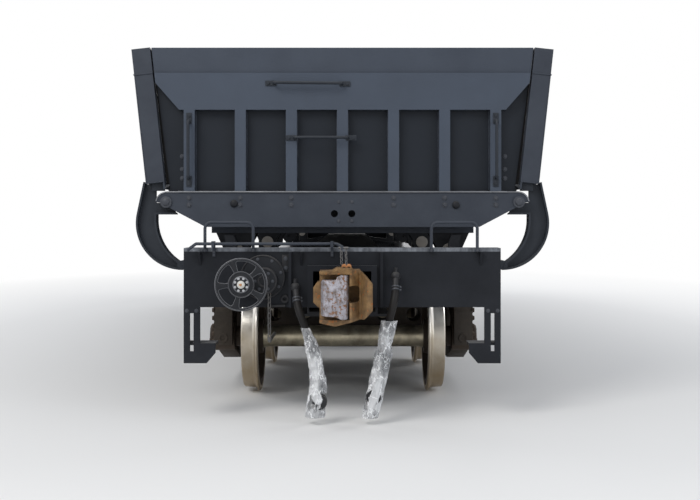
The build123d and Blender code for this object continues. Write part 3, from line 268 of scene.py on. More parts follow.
# %% Group: dust on ledges and near the ground
def make_dust_group():
    """Dust that lies on faces that look up, and rises as spray from the ground to 1.3 m."""
    tree, given, out = new_group(
        "settled_dust",
        [("Color", "Color", (0.04, 0.04, 0.05, 1)), ("Dust Color", "Color", (0.22, 0.21, 0.19, 1)),
         ("Ledge", "Float", 0.5), ("Ground", "Float", 0.4)],
        [("Color", "Color"), ("Mask", "Float")])
    facing = new_node(tree, "SeparateXYZ")
    feed(tree, facing.inputs[0], new_node(tree, "NewGeometry").outputs["Normal"])
    up = span(tree, facing.outputs["Z"], 0.35, 0.95)
    low = span(tree, axis_of(tree, "Z"), 0.1, 1.3, 1.0, 0.0)
    cloud = span(tree, noise_node(tree, 3.5, 5), 0.38, 0.68, 0.45, 1.0)
    fine = span(tree, noise_node(tree, 38, 3), 0.3, 0.75, 0.55, 1.0)
    ledge = math_node(tree, "MULTIPLY", up, given.outputs["Ledge"])
    ground = math_node(tree, "MULTIPLY", low, given.outputs["Ground"])
    both = math_node(tree, "ADD", ledge, ground, clamp=True)
    mask = math_node(tree, "MULTIPLY", math_node(tree, "MULTIPLY", both, cloud), fine)
    color_by_mask(tree, out, mask, given.outputs["Color"], given.outputs["Dust Color"])
    return tree


dust_group = make_dust_group()


# %% Group: rust or bare metal in patches
def make_patch_group():
    """Patches with a crisp edge where broad noise passes a level that Cover lowers."""
    tree, given, out = new_group(
        "worn_patches",
        [("Color", "Color", (0.04, 0.04, 0.05, 1)), ("Patch Color", "Color", (0.17, 0.07, 0.03, 1)),
         ("Scale", "Float", 9.0), ("Cover", "Float", 0.2)],
        [("Color", "Color"), ("Mask", "Float")])
    broad = noise_node(tree, given.outputs["Scale"], 8, 0.62)
    lowered = math_node(tree, "MULTIPLY", given.outputs["Cover"], 0.5)
    edge = math_node(tree, "SUBTRACT", 0.78, lowered)
    mask = span(tree, broad, edge, math_node(tree, "ADD", edge, 0.05))
    color_by_mask(tree, out, mask, given.outputs["Color"], given.outputs["Patch Color"])
    return tree


patch_group = make_patch_group()


# %% Group: surface grain, for rough castings or paint
def make_grain_group():
    """Fine grain on a broad swell, as a height."""
    tree, given, out = new_group(
        "surface_grain", [("Scale", "Float", 60.0), ("Broad", "Float", 0.3)],
        [("Height", "Float")])
    fine = noise_node(tree, given.outputs["Scale"], 3, 0.6)
    swell = math_node(tree, "MULTIPLY", noise_node(tree, 6.0, 2, 0.5), given.outputs["Broad"])
    feed(tree, out.inputs["Height"], math_node(tree, "ADD", fine, swell))
    return tree


grain_group = make_grain_group()
print("groups:", [group.name for group in (dust_group, patch_group, grain_group)])

# %% [markdown]
# A finish is one Principled shader with the three groups in front of it. Two tones of one colour
# are mixed by broad noise, patches and dust lie over them, and both make the surface duller.


# %% One weathered finish
def relief_into(tree, shader, height, strength, depth):
    """A Bump node on a shader's normal."""
    relief = new_node(tree, "Bump")
    for socket, value in (("Strength", strength), ("Distance", depth), ("Height", height)):
        feed(tree, relief.inputs[socket], value)
    feed(tree, shader.inputs["Normal"], relief.outputs["Normal"])


def finish_of(name, color, second, roughness, metallic=0.0, dust=(0.22, 0.21, 0.19), ledge=0.5,
              ground=0.3, patch=(0.16, 0.065, 0.03), cover=0.0, patch_scale=9.0, grain=70.0,
              bump=0.25, bump_distance=0.002, mottle=4.0, specular=0.3):
    """Two tones of a colour, worn patches, dust on ledges and near the ground, and a grain."""
    material, tree, shader = principled(name, color, roughness, metallic)
    tone = span(tree, noise_node(tree, mottle, 5, 0.6), 0.3, 0.7)
    base = mix_color(tree, tone, (*color, 1), (*second, 1))
    patches = use_group(tree, patch_group, Color=base, Patch_Color=(*patch, 1), Scale=patch_scale,
                        Cover=cover)
    dusty = use_group(tree, dust_group, Color=patches.outputs["Color"], Dust_Color=(*dust, 1),
                      Ledge=ledge, Ground=ground)
    feed(tree, shader.inputs["Base Color"], dusty.outputs["Color"])
    rough = span(tree, dusty.outputs["Mask"], 0.0, 0.8, roughness, 0.92)
    uneven = span(tree, noise_node(tree, 14, 3), 0.3, 0.7, 0.0, 0.12)
    worn = math_node(tree, "MULTIPLY", patches.outputs["Mask"], 0.25)
    total = math_node(tree, "ADD", math_node(tree, "ADD", rough, uneven), worn, clamp=True)
    feed(tree, shader.inputs["Roughness"], total)
    if metallic > 0:
        bare = math_node(tree, "SUBTRACT", metallic, dusty.outputs["Mask"], clamp=True)
        feed(tree, shader.inputs["Metallic"], bare)
    height = use_group(tree, grain_group, Scale=grain)
    relief_into(tree, shader, height.outputs["Height"], bump, bump_distance)
    feed(tree, shader.inputs["Specular IOR Level"], specular)
    return material


# %% [markdown]
# The finishes, by their place on the car. The body and frame are a satin slate paint, the bogies a
# duller black, the coupler a bare casting with thin ochre rust, the treads machined steel that has
# begun to brown, and the hoses black rubber.

# %% Paints
grey_dust = (0.17, 0.175, 0.18)
slate = finish_of("slate_paint", (0.034, 0.040, 0.053), (0.047, 0.055, 0.070), 0.42,
                  dust=grey_dust, ledge=0.42, ground=0.08, cover=0.05, bump=0.18, specular=0.2)
arm_paint = finish_of("arm_paint", (0.020, 0.024, 0.031), (0.031, 0.036, 0.045), 0.42,
                      dust=grey_dust, ledge=0.5, ground=0.08, cover=0.06, bump=0.18, specular=0.2)
trough = finish_of("trough_steel", (0.045, 0.050, 0.062), (0.060, 0.064, 0.074), 0.5,
                   dust=(0.20, 0.20, 0.195), ledge=0.6, ground=0.0, cover=0.08, bump=0.3)
frame_black = finish_of("frame_black", (0.009, 0.010, 0.013), (0.016, 0.018, 0.022), 0.45,
                        dust=(0.16, 0.155, 0.145), ledge=0.5, ground=0.14, cover=0.05,
                        specular=0.2)
beam_dusty = finish_of("beam_paint", (0.009, 0.0105, 0.014), (0.015, 0.017, 0.022), 0.42,
                       dust=(0.27, 0.275, 0.28), ledge=0.8, ground=0.05, patch=(0.16, 0.15, 0.14),
                       cover=0.07, patch_scale=16, specular=0.15)
cap_white = finish_of("cap_white", (0.72, 0.71, 0.66), (0.62, 0.61, 0.56), 0.5,
                      patch=(0.26, 0.07, 0.03), cover=0.25, patch_scale=45, ledge=0.2, ground=0.0)

# %% Castings and forgings
bogie_black = finish_of("bogie_casting", (0.018, 0.016, 0.015), (0.036, 0.028, 0.021), 0.62,
                        dust=(0.17, 0.14, 0.11), ledge=0.6, ground=0.35, cover=0.12, grain=55,
                        bump=0.5, bump_distance=0.003)
ochre_cast = finish_of("ochre_casting", (0.30, 0.178, 0.072), (0.085, 0.046, 0.021), 0.52, 0.3,
                       patch=(0.36, 0.13, 0.035), cover=0.34, patch_scale=24, ledge=0.25, grain=75,
                       bump=0.8, bump_distance=0.005, mottle=17)
scuffed = finish_of("scuffed_steel", (0.46, 0.45, 0.50), (0.24, 0.23, 0.25), 0.42, 0.5,
                    patch=(0.27, 0.14, 0.075), cover=0.46, patch_scale=52, ledge=0.1, ground=0.0,
                    grain=60, bump=0.7, bump_distance=0.004, mottle=26)
bearing_brown = finish_of("bearing_brown", (0.030, 0.021, 0.016), (0.052, 0.036, 0.026), 0.6,
                          dust=(0.2, 0.16, 0.12), ledge=0.5, cover=0.12)
spring_black = finish_of("spring_black", (0.020, 0.020, 0.021), (0.030, 0.029, 0.029), 0.45)
fitting_dark = finish_of("fitting_dark", (0.016, 0.017, 0.020), (0.040, 0.040, 0.043), 0.42, 0.2,
                         ledge=0.4, ground=0.05, cover=0.12, grain=90, bump=0.4, specular=0.2)
orange_rust = finish_of("orange_rust", (0.42, 0.17, 0.06), (0.55, 0.28, 0.13), 0.7,
                        patch=(0.20, 0.07, 0.03), cover=0.3, patch_scale=40, grain=120, bump=0.5)

# %% Bare steels and rubber
tread_steel = finish_of("tread_steel", (0.66, 0.62, 0.55), (0.42, 0.35, 0.25), 0.27, 0.85,
                        dust=(0.25, 0.20, 0.15), ledge=0.0, ground=0.12, cover=0.12, mottle=5,
                        bump=0.1)
piston_steel = finish_of("piston_steel", (0.52, 0.52, 0.53), (0.44, 0.44, 0.45), 0.25, 0.9,
                         ledge=0.1, ground=0.0)
pin_steel = finish_of("pin_steel", (0.30, 0.29, 0.27), (0.22, 0.20, 0.18), 0.4, 0.7, cover=0.1)
chain_steel = finish_of("chain_steel", (0.10, 0.10, 0.105), (0.17, 0.165, 0.16), 0.4, 0.6,
                        cover=0.2, patch_scale=40)
bolt_steel = finish_of("bolt_steel", (0.045, 0.050, 0.062), (0.065, 0.070, 0.082), 0.4, 0.2,
                       ground=0.05)
bright_bolt = finish_of("bright_bolt", (0.55, 0.56, 0.58), (0.40, 0.41, 0.43), 0.3, 0.8,
                        ledge=0.1, ground=0.0)
# A pale metal grey for edges that catch the light: a painted highlight, with a few rust patches.
painted_highlight_edge = finish_of("painted_highlight_edge", (0.20, 0.205, 0.22), (0.11, 0.115, 0.125), 0.35, 0.5,
                      ledge=0.3, ground=0.0, cover=0.15, patch_scale=30)
rubber = finish_of("hose_rubber", (0.007, 0.007, 0.008), (0.016, 0.015, 0.015), 0.42,
                   ledge=0.12, ground=0.05, grain=160, specular=0.15)
print("finishes:", len(bpy.data.materials))

# %% [markdown]
# Four finishes get colours that follow a place or a pattern of their own. The end wall's posts and
# band are painted lighter, a painted highlight on their proud faces broken by blotches, while the
# panels between them, set back, are painted darker as shade, with some dirt. The end beam's top
# flange has lost its paint to boots and dust, so a pale, broken band follows its edge. The knuckle's
# scuffed face is smeared brown. A wheel is bright where it rolls, brown on its web, and its axle is
# steel again, so its colour follows the distance from the axle's line. Above the axle the wheel is
# painted lighter as a highlight, and below it darker as painted shade.


# %% Wall, beam and knuckle
def color_into(material, share, color):
    """Mixes another colour into a finish where the share is high."""
    tree = material.node_tree
    socket = tree.nodes["Principled BSDF"].inputs["Base Color"]
    before = socket.links[0].from_socket
    feed(tree, socket, mix_color(tree, share, before, (*color, 1)))


# Along the track, the painted highlight of posts and band starts outside post_y, the painted shade
# of the panels inside panel_y, and the colour of the wall's inner face inside inside_y.
post_y, panel_y, inside_y = 5.775, 5.760, 5.725
wall_paint = slate.copy()
wall_paint.name = "wall_paint"
wall_tree = wall_paint.node_tree
reach = math_node(wall_tree, "ABSOLUTE", axis_of(wall_tree, "Y"))
blotches = span(wall_tree, noise_node(wall_tree, 3, 4), 0.3, 0.7, 0.7, 1.0)
# Painted highlight on the proud posts and band, and painted shade with some dirt on the set-back
# panels.
post_highlight = math_node(wall_tree, "MULTIPLY", span(wall_tree, reach, post_y, post_y + 0.025), blotches)
panel_shade = span(wall_tree, reach, panel_y, panel_y - 0.015)
inside = span(wall_tree, reach, inside_y, inside_y - 0.010)
for share, color in ((post_highlight, (0.062, 0.077, 0.104)), (panel_shade, (0.012, 0.0155, 0.022)),
                     (inside, (0.040, 0.045, 0.055))):
    color_into(wall_paint, share, color)

flange_z = 1.186
beam_tree = beam_dusty.node_tree
flange = span(beam_tree, axis_of(beam_tree, "Z"), flange_z, flange_z + 0.004)
broken = span(beam_tree, noise_node(beam_tree, 22, 6, 0.65, (1.0, 1.0, 0.4)), 0.32, 0.62,
              0.25, 0.95)
color_into(beam_dusty, math_node(beam_tree, "MULTIPLY", flange, broken), (0.20, 0.215, 0.24))

scuff_tree = scuffed.node_tree
smears = span(scuff_tree, noise_node(scuff_tree, 38, 6, 0.7, (1.0, 1.0, 0.5)), 0.48, 0.62,
              0.0, 0.85)
color_into(scuffed, smears, (0.13, 0.095, 0.075))
print("coloured by place:", wall_paint.name, beam_dusty.name, scuffed.name)

# %% Wheels
bogie_y, half_wheelbase, axle_z = 3.850, 0.875, 0.447
tread_start, axle_radius, wheel_back, cap_start = 0.400, 0.105, 0.655, 0.880
axles = (("outer_a", -bogie_y - half_wheelbase), ("inner_a", -bogie_y + half_wheelbase),
         ("inner_b", bogie_y - half_wheelbase), ("outer_b", bogie_y + half_wheelbase))


def wheel_finish(name, axle_y):
    """Tread steel whose web, axle and cap have their own colours, by distance from the axle, with
    a painted highlight above the axle and painted shade below it.
    """
    material = tread_steel.copy()
    material.name = name
    tree = material.node_tree
    across = math_node(tree, "ABSOLUTE", axis_of(tree, "X"))
    along = math_node(tree, "SUBTRACT", axis_of(tree, "Y"), axle_y)
    up = math_node(tree, "SUBTRACT", axis_of(tree, "Z"), axle_z)
    away = distance(tree, along, up)
    # Painted shade darkens the wheel below the axle, and a painted highlight lightens it above.
    painted_shade_below = span(tree, up, 0.10, -0.40, 0.0, 0.75)
    painted_highlight_above = span(tree, up, 0.02, 0.22, 0.0, 0.85)
    web = span(tree, away, tread_start, tread_start + 0.007, 1.0, 0.0)
    axle = math_node(tree, "MULTIPLY", span(tree, away, axle_radius, axle_radius + 0.010, 1.0, 0.0),
                     span(tree, across, wheel_back, wheel_back + 0.007, 1.0, 0.0))
    speck = span(tree, noise_node(tree, 9, 5, 0.6), 0.35, 0.65, 0.45, 1.0)
    specked = math_node(tree, "MULTIPLY", axle, speck)
    cap = span(tree, across, cap_start, cap_start + 0.010)
    for share, color in ((painted_shade_below, (0.30, 0.215, 0.115)), (painted_highlight_above, (0.88, 0.87, 0.84)),
                         (web, (0.050, 0.037, 0.028)), (specked, (0.56, 0.50, 0.37)),
                         (cap, (0.048, 0.036, 0.028))):
        color_into(material, share, color)
    rusty = math_node(tree, "MULTIPLY", web, math_node(tree, "SUBTRACT", 1.0, axle))
    rough, metal = (tree.nodes["Principled BSDF"].inputs[socket]
                    for socket in ("Roughness", "Metallic"))
    duller = math_node(tree, "MULTIPLY", rusty, 0.3)
    feed(tree, rough, math_node(tree, "ADD", rough.links[0].from_socket, duller, clamp=True))
    feed(tree, metal, math_node(tree, "MULTIPLY", metal.links[0].from_socket,
                                span(tree, rusty, 0.0, 1.0, 1.0, 0.35)))
    return material


# %% Carry the finishes to the CAD nodes
def dress(material, name):
    """Puts a finish on a CAD node, whose mesh stays as it is."""
    nodes[name].data.materials.clear()
    nodes[name].data.materials.append(material)


# The first row that fits a node's name counts, and slate is for the rest.
by_start = (
    (bogie_black, ("side_frames", "bogie_bolster", "brake_beams")),
    (bearing_brown, ("axle_boxes",)),
    (spring_black, ("springs",)),
    (ochre_cast, ("coupler",)),
    (scuffed, ("knuckles",)),
    (rubber, ("hose",)),
    (fitting_dark, ("gladhand", "angle_cocks", "control_valve")),
    (chain_steel, ("brake_chain",)),
    (piston_steel, ("rods", "sleeves")),
    (pin_steel, ("left_trunnion", "right_trunnion")),
    (beam_dusty, ("end_beam", "corner_steps")),
    (trough, ("body_floor",)),
    (wall_paint, ("end_wall",)),
    (arm_paint, ("door_arms", "door_lugs", "end_grab")),
    (frame_black, ("centre_sill", "cross_bearers", "air_reservoirs", "barrels", "brake_",
                   "train_pipes", "arm_cams", "body_beams")),
    (slate, ("",)),
)
for name in nodes:
    dress(next(material for material, starts in by_start if name.startswith(starts)), name)
for place, axle_y in axles:
    dress(wheel_finish("tread_wheelset_" + place, axle_y), "wheelset_" + place)
print("dressed", len(nodes), "nodes")

# %% [markdown]
# The two air hoses hang from their cocks below the beam. Each is a fixed length of rubber, so its
# centre line is a smooth NURBS curve through the same control points as the CAD tube's route, and
# its thickness is the curve's own bevel.

# %% Hoses as NURBS curves
routes = {
    "left": ((-0.318, -6.179, 0.879), (-0.310, -6.206, 0.823), (-0.286, -6.234, 0.754),
             (-0.251, -6.246, 0.665), (-0.214, -6.240, 0.566), (-0.189, -6.228, 0.462),
             (-0.173, -6.222, 0.360), (-0.164, -6.224, 0.268)),
    "right": ((0.372, -6.180, 0.956), (0.370, -6.208, 0.900), (0.352, -6.238, 0.820),
              (0.326, -6.244, 0.722), (0.306, -6.240, 0.616), (0.288, -6.232, 0.508),
              (0.272, -6.226, 0.400), (0.246, -6.226, 0.300)),
}
hose_radius = 0.027


def nurbs_line(name, points, radius):
    """A curve object of one open NURBS spline, round in section."""
    curve = bpy.data.curves.new(name, "CURVE")
    curve.dimensions = "3D"
    curve.bevel_depth = radius
    curve.bevel_resolution = 5
    curve.resolution_u = 12
    curve.use_fill_caps = True
    spline = curve.splines.new("NURBS")
    spline.points.add(len(points) - 1)
    for control, place in zip(spline.points, points):
        control.co = (*place, 1)
    spline.order_u = 3
    spline.use_endpoint_u = True
    made = bpy.data.objects.new(name, curve)
    bpy.context.scene.collection.objects.link(made)
    return made


for side, route in routes.items():
    hose = nurbs_line("air_hose_" + side, route, hose_radius)
    hose.data.materials.append(rubber)
    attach(hose, "underframe")
    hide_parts("hose_" + side)

# %% [markdown]
# The added pieces are modelled the way it is done in the viewport: a primitive at its size,
# shaped in edit mode, rounded with a modifier, and then copied to every place where it repeats.
# These few helpers do the steps that every piece shares, so each later cell shows only its own.


# %% Helpers: selecting
def pick(*pieces):
    """Deselects everything and selects the given pieces, the first one active."""
    bpy.ops.object.select_all(action="DESELECT")
    for piece in pieces:
        piece.select_set(True)
    bpy.context.view_layer.objects.active = pieces[0]


def choose(piece, kind, test):
    """Edit mode on a piece, with only those faces, edges or points selected that pass the test."""
    pick(piece)
    bpy.ops.object.mode_set(mode="EDIT")
    bpy.ops.mesh.select_mode(type=kind)
    bpy.ops.mesh.select_all(action="DESELECT")
    bpy.ops.object.mode_set(mode="OBJECT")
    mesh = piece.data
    for part in {"FACE": mesh.polygons, "EDGE": mesh.edges, "VERT": mesh.vertices}[kind]:
        part.select = test(part)
    bpy.ops.object.mode_set(mode="EDIT")


def rise(piece, edge):
    """How far an edge goes up or down between its two points."""
    first, second = (piece.data.vertices[k].co for k in edge.vertices)
    return abs(first.z - second.z)


def choose_all():
    """Edit mode on the active piece, with all of it selected."""
    bpy.ops.object.mode_set(mode="EDIT")
    bpy.ops.mesh.select_all(action="SELECT")


def done():
    """Leaves edit mode and returns the piece."""
    bpy.ops.object.mode_set(mode="OBJECT")
    return bpy.context.active_object


def faced_out():
    """Leaves edit mode with every face pointing outwards, and returns the piece."""
    bpy.ops.mesh.select_all(action="SELECT")
    bpy.ops.mesh.normals_make_consistent(inside=False)
    return done()


# %% Helpers: placing, rounding, joining and copying
def placed():
    """Puts the active piece's place and turn into its mesh."""
    bpy.ops.object.transform_apply(location=True, rotation=True, scale=True)
    return bpy.context.active_object


def pointing(direction, place, roll=0.0):
    """Turns a piece's own +Z to a direction and moves it to a place."""
    turn = Vector(direction).to_track_quat("Z", "Y").to_matrix().to_4x4()
    return Matrix.Translation(Vector(place)) @ turn @ Matrix.Rotation(roll, 4, "Z")


def set_at(piece, direction, place):
    """Turns a piece's own +Z to a direction and moves it to a place, in its mesh."""
    piece.data.transform(pointing(direction, place))
    return piece


def applied(piece, kind, **settings):
    """Adds a modifier to a piece and applies it."""
    pick(piece)
    modifier = piece.modifiers.new(kind.lower(), kind)
    for setting, value in settings.items():
        setattr(modifier, setting, value)
    bpy.ops.object.modifier_apply(modifier=modifier.name)
    return piece


def rounded(piece, width, segments=2, angle=30):
    """Rounds a piece's sharp edges."""
    return applied(piece, "BEVEL", width=width, segments=segments, limit_method="ANGLE",
                   angle_limit=math.radians(angle))


def joined(*pieces):
    """Makes one piece of several."""
    pick(*pieces)
    bpy.ops.object.join()
    return bpy.context.active_object


def copies(seed, places):
    """One piece made of a copy of the seed at each place, each copy from its own mesh."""
    made = []
    for place in places:
        copy = bpy.data.objects.new(seed.name, seed.data.copy())
        copy.data.transform(place)
        bpy.context.scene.collection.objects.link(copy)
        made.append(copy)
    bpy.data.objects.remove(seed)
    return joined(*made)


def keep(piece, name, material, body, angle=35, instead=()):
    """Names a finished piece, smooths it, gives it its finish and hangs it on its body."""
    pick(piece)
    placed()
    bpy.ops.object.shade_smooth_by_angle(angle=math.radians(angle))
    piece.name = name
    piece.data.name = name
    piece.data.materials.clear()
    piece.data.materials.append(material)
    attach(piece, body)
    if instead:
        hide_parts(*instead)
    print(name, len(piece.data.polygons), "faces")
    return piece


# %% Helpers: blocks and turned pieces
def box_piece(corner, opposite, width=0.004, segments=2):
    """A block between two opposite corners with its edges rounded."""
    size = [abs(b - a) for a, b in zip(corner, opposite)]
    middle = [(a + b) / 2 for a, b in zip(corner, opposite)]
    bpy.ops.object.select_all(action="DESELECT")
    bpy.ops.mesh.primitive_cube_add(size=1, location=middle, scale=size)
    return rounded(placed(), width, segments)


def turned(profile, steps=40):
    """A ring or cap: a circle's points are moved to the profile's, then spun once about Z."""
    bpy.ops.object.select_all(action="DESELECT")
    bpy.ops.mesh.primitive_circle_add(vertices=len(profile), radius=1)
    piece = placed()
    for point, (radius, height) in zip(piece.data.vertices, profile):
        point.co = (radius, 0, height)
    choose_all()
    bpy.ops.mesh.spin(steps=steps, angle=2 * math.pi, center=(0, 0, 0), axis=(0, 0, 1))
    bpy.ops.mesh.select_all(action="SELECT")
    bpy.ops.mesh.remove_doubles(threshold=0.00002)
    return faced_out()


def ring(inner, outer, low, high, cut=0.2, steps=40):
    """A band or washer about Z: a rectangle with its corners cut, turned once."""
    c = min(outer - inner, high - low) * cut
    return turned([(inner, low + c), (inner, high - c), (inner + c, high), (outer - c, high),
                   (outer, high - c), (outer, low + c), (outer - c, low), (inner + c, low)], steps)


# %% Helper: bent rods
def bent_rod(points, radius, bend=0.02):
    """A round rod through points, its corners rounded: an edge chain, bevelled and thickened."""
    if len(points) == 2:
        points = [points[0], Vector(points[0]).lerp(Vector(points[1]), 0.5), points[1]]
    bpy.ops.object.select_all(action="DESELECT")
    bpy.ops.mesh.primitive_circle_add(vertices=len(points), radius=1)
    piece = placed()
    for point, place in zip(piece.data.vertices, points):
        point.co = place
    closing = {0, len(points) - 1}
    choose(piece, "EDGE", lambda edge: set(edge.vertices) == closing)
    bpy.ops.mesh.delete(type="EDGE_FACE")
    done()
    tips = (Vector(points[0]), Vector(points[-1]))
    choose(piece, "VERT", lambda point: min((point.co - tip).length for tip in tips) > 1e-6)
    bpy.ops.mesh.bevel(offset=bend, offset_type="OFFSET", segments=5, affect="VERTICES")
    done()
    bpy.ops.object.convert(target="CURVE")
    curve = bpy.context.active_object.data
    curve.bevel_depth = radius
    curve.bevel_resolution = 2
    curve.use_fill_caps = True
    bpy.ops.object.convert(target="MESH")
    return bpy.context.active_object


# %% [markdown]
# Bolts hold what isn't welded: the crossbeam's web, the grab irons' feet, the brake gear and the
# steps. One hexagon head on its washer is shaped, its top corners cut by a bevel, and then copied.
# A few dozen faces are enough, since there are many of them and none is larger than a hand's width.

# %% Bolts
toward_a, toward_b = (0, -1, 0), (0, 1, 0)


def hex_bolt(radius):
    """Hexagon head on a round washer, at the origin, pointing along +Z."""
    parts = []
    # Head and washer: sides, then radius, depth, middle and cut as shares of the bolt's radius.
    for sides, wide, deep, middle, cut in ((6, 1.0, 0.75, 0.55, 0.14), (16, 1.45, 0.2, 0.1, 0.07)):
        bpy.ops.object.select_all(action="DESELECT")
        bpy.ops.mesh.primitive_cylinder_add(vertices=sides, radius=radius * wide,
                                            depth=radius * deep, location=(0, 0, radius * middle))
        choose(placed(), "FACE", lambda face: face.normal.z > 0.9)
        bpy.ops.mesh.bevel(offset=radius * cut, segments=1)
        parts.append(done())
    return joined(*parts)


def bolt_set(name, radius, body, places, material=bolt_steel, turn_step=0.4):
    """A set of bolts; each place is a point and the direction that its head points in."""
    where = [pointing(out, point, turn_step * k) for k, (point, out) in enumerate(places)]
    return keep(copies(hex_bolt(radius), where), name, material, body, 30)


def ends(places):
    """Places on end faces with the outward direction, at end A and mirrored at end B."""
    return [((x, -y, z), toward_a) for x, y, z in places] + [(place, toward_b) for place in places]


def bolt_circle(centre, radius, degrees, out):
    """Places round a centre on an end or side face, with the outward direction."""
    across = Vector((abs(out[1]), abs(out[0]), 0))
    turns = [math.radians(angle) for angle in degrees]
    return [(Vector(centre) + radius * (across * math.cos(turn) + Vector((0, 0, math.sin(turn)))),
             out) for turn in turns]


# %% Bolts of the crossbeam and end walls
wall_face, skin_face = 5.810, 5.742
post_pitch = 0.373
web_bolts = [(k * post_pitch, wall_face, z) for k in (-3, -2, -1, 1, 2, 3) for z in (1.5715, 1.520)]
bolt_set("crossbeam_bolts", 0.013, "tipping_body", ends(web_bolts))
small_bolts = [(x, wall_face, z) for x in (-0.028, 0.069) for z in (1.542, 1.403)]
bolt_set("crossbeam_small_bolts", 0.009, "tipping_body", ends(small_bolts))
wall_bolts = [(x, skin_face, z) for x in (-1.180, 1.195) for z in (1.879, 1.784, 1.718)]
bolt_set("end_wall_bolts", 0.012, "tipping_body", ends(wall_bolts))


# %% Domed studs on the crossbeam
def dome(radius, height):
    """Shallow rivet head: the upper part of a ball, flattened, with a closed foot."""
    bpy.ops.object.select_all(action="DESELECT")
    bpy.ops.mesh.primitive_uv_sphere_add(segments=20, ring_count=12, radius=radius)
    placed()
    choose_all()
    bpy.ops.mesh.bisect(plane_co=(0, 0, 0), plane_no=(0, 0, 1), use_fill=True, clear_inner=True)
    bpy.ops.mesh.select_all(action="SELECT")
    bpy.ops.transform.resize(value=(1, 1, height / radius))
    return done()


stud_places = [pointing(out, point) for point, out in
               ends([(-0.791, wall_face, 1.530), (0.828, wall_face, 1.520)])]
keep(copies(dome(0.028, 0.014), stud_places), "crossbeam_studs", frame_black, "tipping_body")

# %% [markdown]
# Every grab iron ends in a foot, a small flat plate that a bolt holds against the wall. A block
# with rounded edges is enough for the plate, because the iron and the bolts are what is seen.

# %% Feet and bolts of the grab irons
foot_thick, foot_half_width, foot_short, foot_long = 0.009, 0.019, 0.018, 0.062
bolt_reach = 0.04
# Each iron's end: its X and Z, and the way that its foot points.
iron_ends = ((-0.500, 2.408, -1, 0), (-0.005, 2.403, 1, 0), (-0.350, 2.010, -1, 0),
             (0.040, 2.010, 1, 0), (-1.119, 1.715, 0, -1), (-1.119, 2.130, 0, 1),
             (1.119, 1.715, 0, -1), (1.119, 2.130, 0, 1))
feet = []
foot_bolts = []
for x, z, dx, dz in iron_ends:
    wide_x, wide_z = (0, foot_half_width) if dx else (foot_half_width, 0)
    for side in (-1, 1):
        front = side * (wall_face + foot_thick)
        feet.append(box_piece(
            (x - dx * foot_short - wide_x, side * wall_face, z - dz * foot_short - wide_z),
            (x + dx * foot_long + wide_x, front, z + dz * foot_long + wide_z), 0.002, 1))
        foot_bolts.append(((x + dx * bolt_reach, front, z + dz * bolt_reach), (0, side, 0)))
keep(joined(*feet), "grab_iron_feet", arm_paint, "tipping_body")
bolt_set("grab_iron_bolts", 0.010, "tipping_body", foot_bolts, arm_paint)

# %% [markdown]
# The posts are welded to the end wall, and a weld is a rippled bead, not a clean corner. One bead
# is a thin six-sided rod, divided along its length and shaken a little, then copied to each post.


# %% Weld beads
def weld_bead(length, radius, seed):
    """Rough bead along Z from the origin up, with ripples about as long as it is wide."""
    bpy.ops.object.select_all(action="DESELECT")
    bpy.ops.mesh.primitive_cylinder_add(vertices=6, radius=radius, depth=length,
                                        location=(0, 0, length / 2))
    bead = placed()
    choose(bead, "EDGE", lambda edge: rise(bead, edge) > length / 2)
    bpy.ops.mesh.subdivide(number_cuts=max(8, int(length / 0.012)))
    bpy.ops.mesh.select_all(action="SELECT")
    bpy.ops.transform.vertex_random(offset=radius * 0.35, uniform=0.6, normal=0.2, seed=seed)
    return done()


post_half_width, post_length = 0.041, 0.580
post_edges = [(k * post_pitch + side * post_half_width, skin_face - 0.0005, 1.632)
              for k in range(-3, 4) for side in (-1, 1)]
bead_places = [Matrix.Translation((x, turn * y, z)) for x, y, z in post_edges for turn in (-1, 1)]
keep(copies(weld_bead(post_length, 0.0045, 3), bead_places), "post_weld_beads", slate,
     "tipping_body", 60)
seam_length = 2.36
level = Matrix.Rotation(math.radians(90), 4, "Y")
seam_places = [Matrix.Translation((-seam_length / 2, turn * (wall_face - 0.001), 1.6155)) @ level
               for turn in (-1, 1)]
keep(copies(weld_bead(seam_length, 0.005, 5), seam_places), "crossbeam_weld_beads", slate,
     "tipping_body", 60)

# %% [markdown]
# Where a door meets the end wall, a dark strip behind the wall's edge fills the slot as painted
# shade, and thin lips mark the door's chord and foot on its end plate. Bars along the floor's edges
# keep the load off the doors' feet, and the crossbeam's top flange shows as a pale line, a painted
# highlight along its edge. All are flat bars with soft edges, and the doors' are leaned by the
# doors' own tilt.

# %% Slot shade strips, lips and gussets
door_foot = Matrix.Translation((1.301, 0, 1.688)) @ Matrix.Rotation(math.radians(6.2), 4, "Y")
door_frames = {"right": door_foot, "left": Matrix.Rotation(math.pi, 4, "Z") @ door_foot}


def leaned_bars(bars, side):
    """Bars given by two corners in the right door's own frame, at both ends of a side's door."""
    made = []
    for low, high in bars:
        for end in (-1, 1):
            bar = box_piece((low[0], end * low[1], low[2]), (high[0], end * high[1], high[2]),
                            0.0015, 1)
            bar.data.transform(door_frames[side])
            made.append(bar)
    return made


# A dark strip behind the wall's edge: painted shade for the slot between door and wall.
slot_shade_strip = [((-0.050, 5.700, -0.015), (-0.0025, 5.7255, 0.983))]
keep(joined(*leaned_bars(slot_shade_strip, "right"), *leaned_bars(slot_shade_strip, "left")), "door_slot_shade", rubber,
     "tipping_body")
lips = [((-0.001, 5.796, 0.797), (0.141, 5.807, 0.807)),
        ((0.0, 5.796, 0.001), (0.138, 5.805, 0.010)),
        ((0.128, 5.796, 0.010), (0.1365, 5.803, 0.797))]
for side, out in (("right", 1), ("left", -1)):
    keep(joined(*leaned_bars(lips, side)), side + "_door_lips", slate, side + "_door")
    gussets = [box_piece((out * 1.303, end * 5.748, 1.624), (out * 1.400, end * 5.764, 1.700), 0.003)
               for end in (-1, 1)]
    keep(joined(*gussets), side + "_door_gussets", arm_paint, side + "_door")

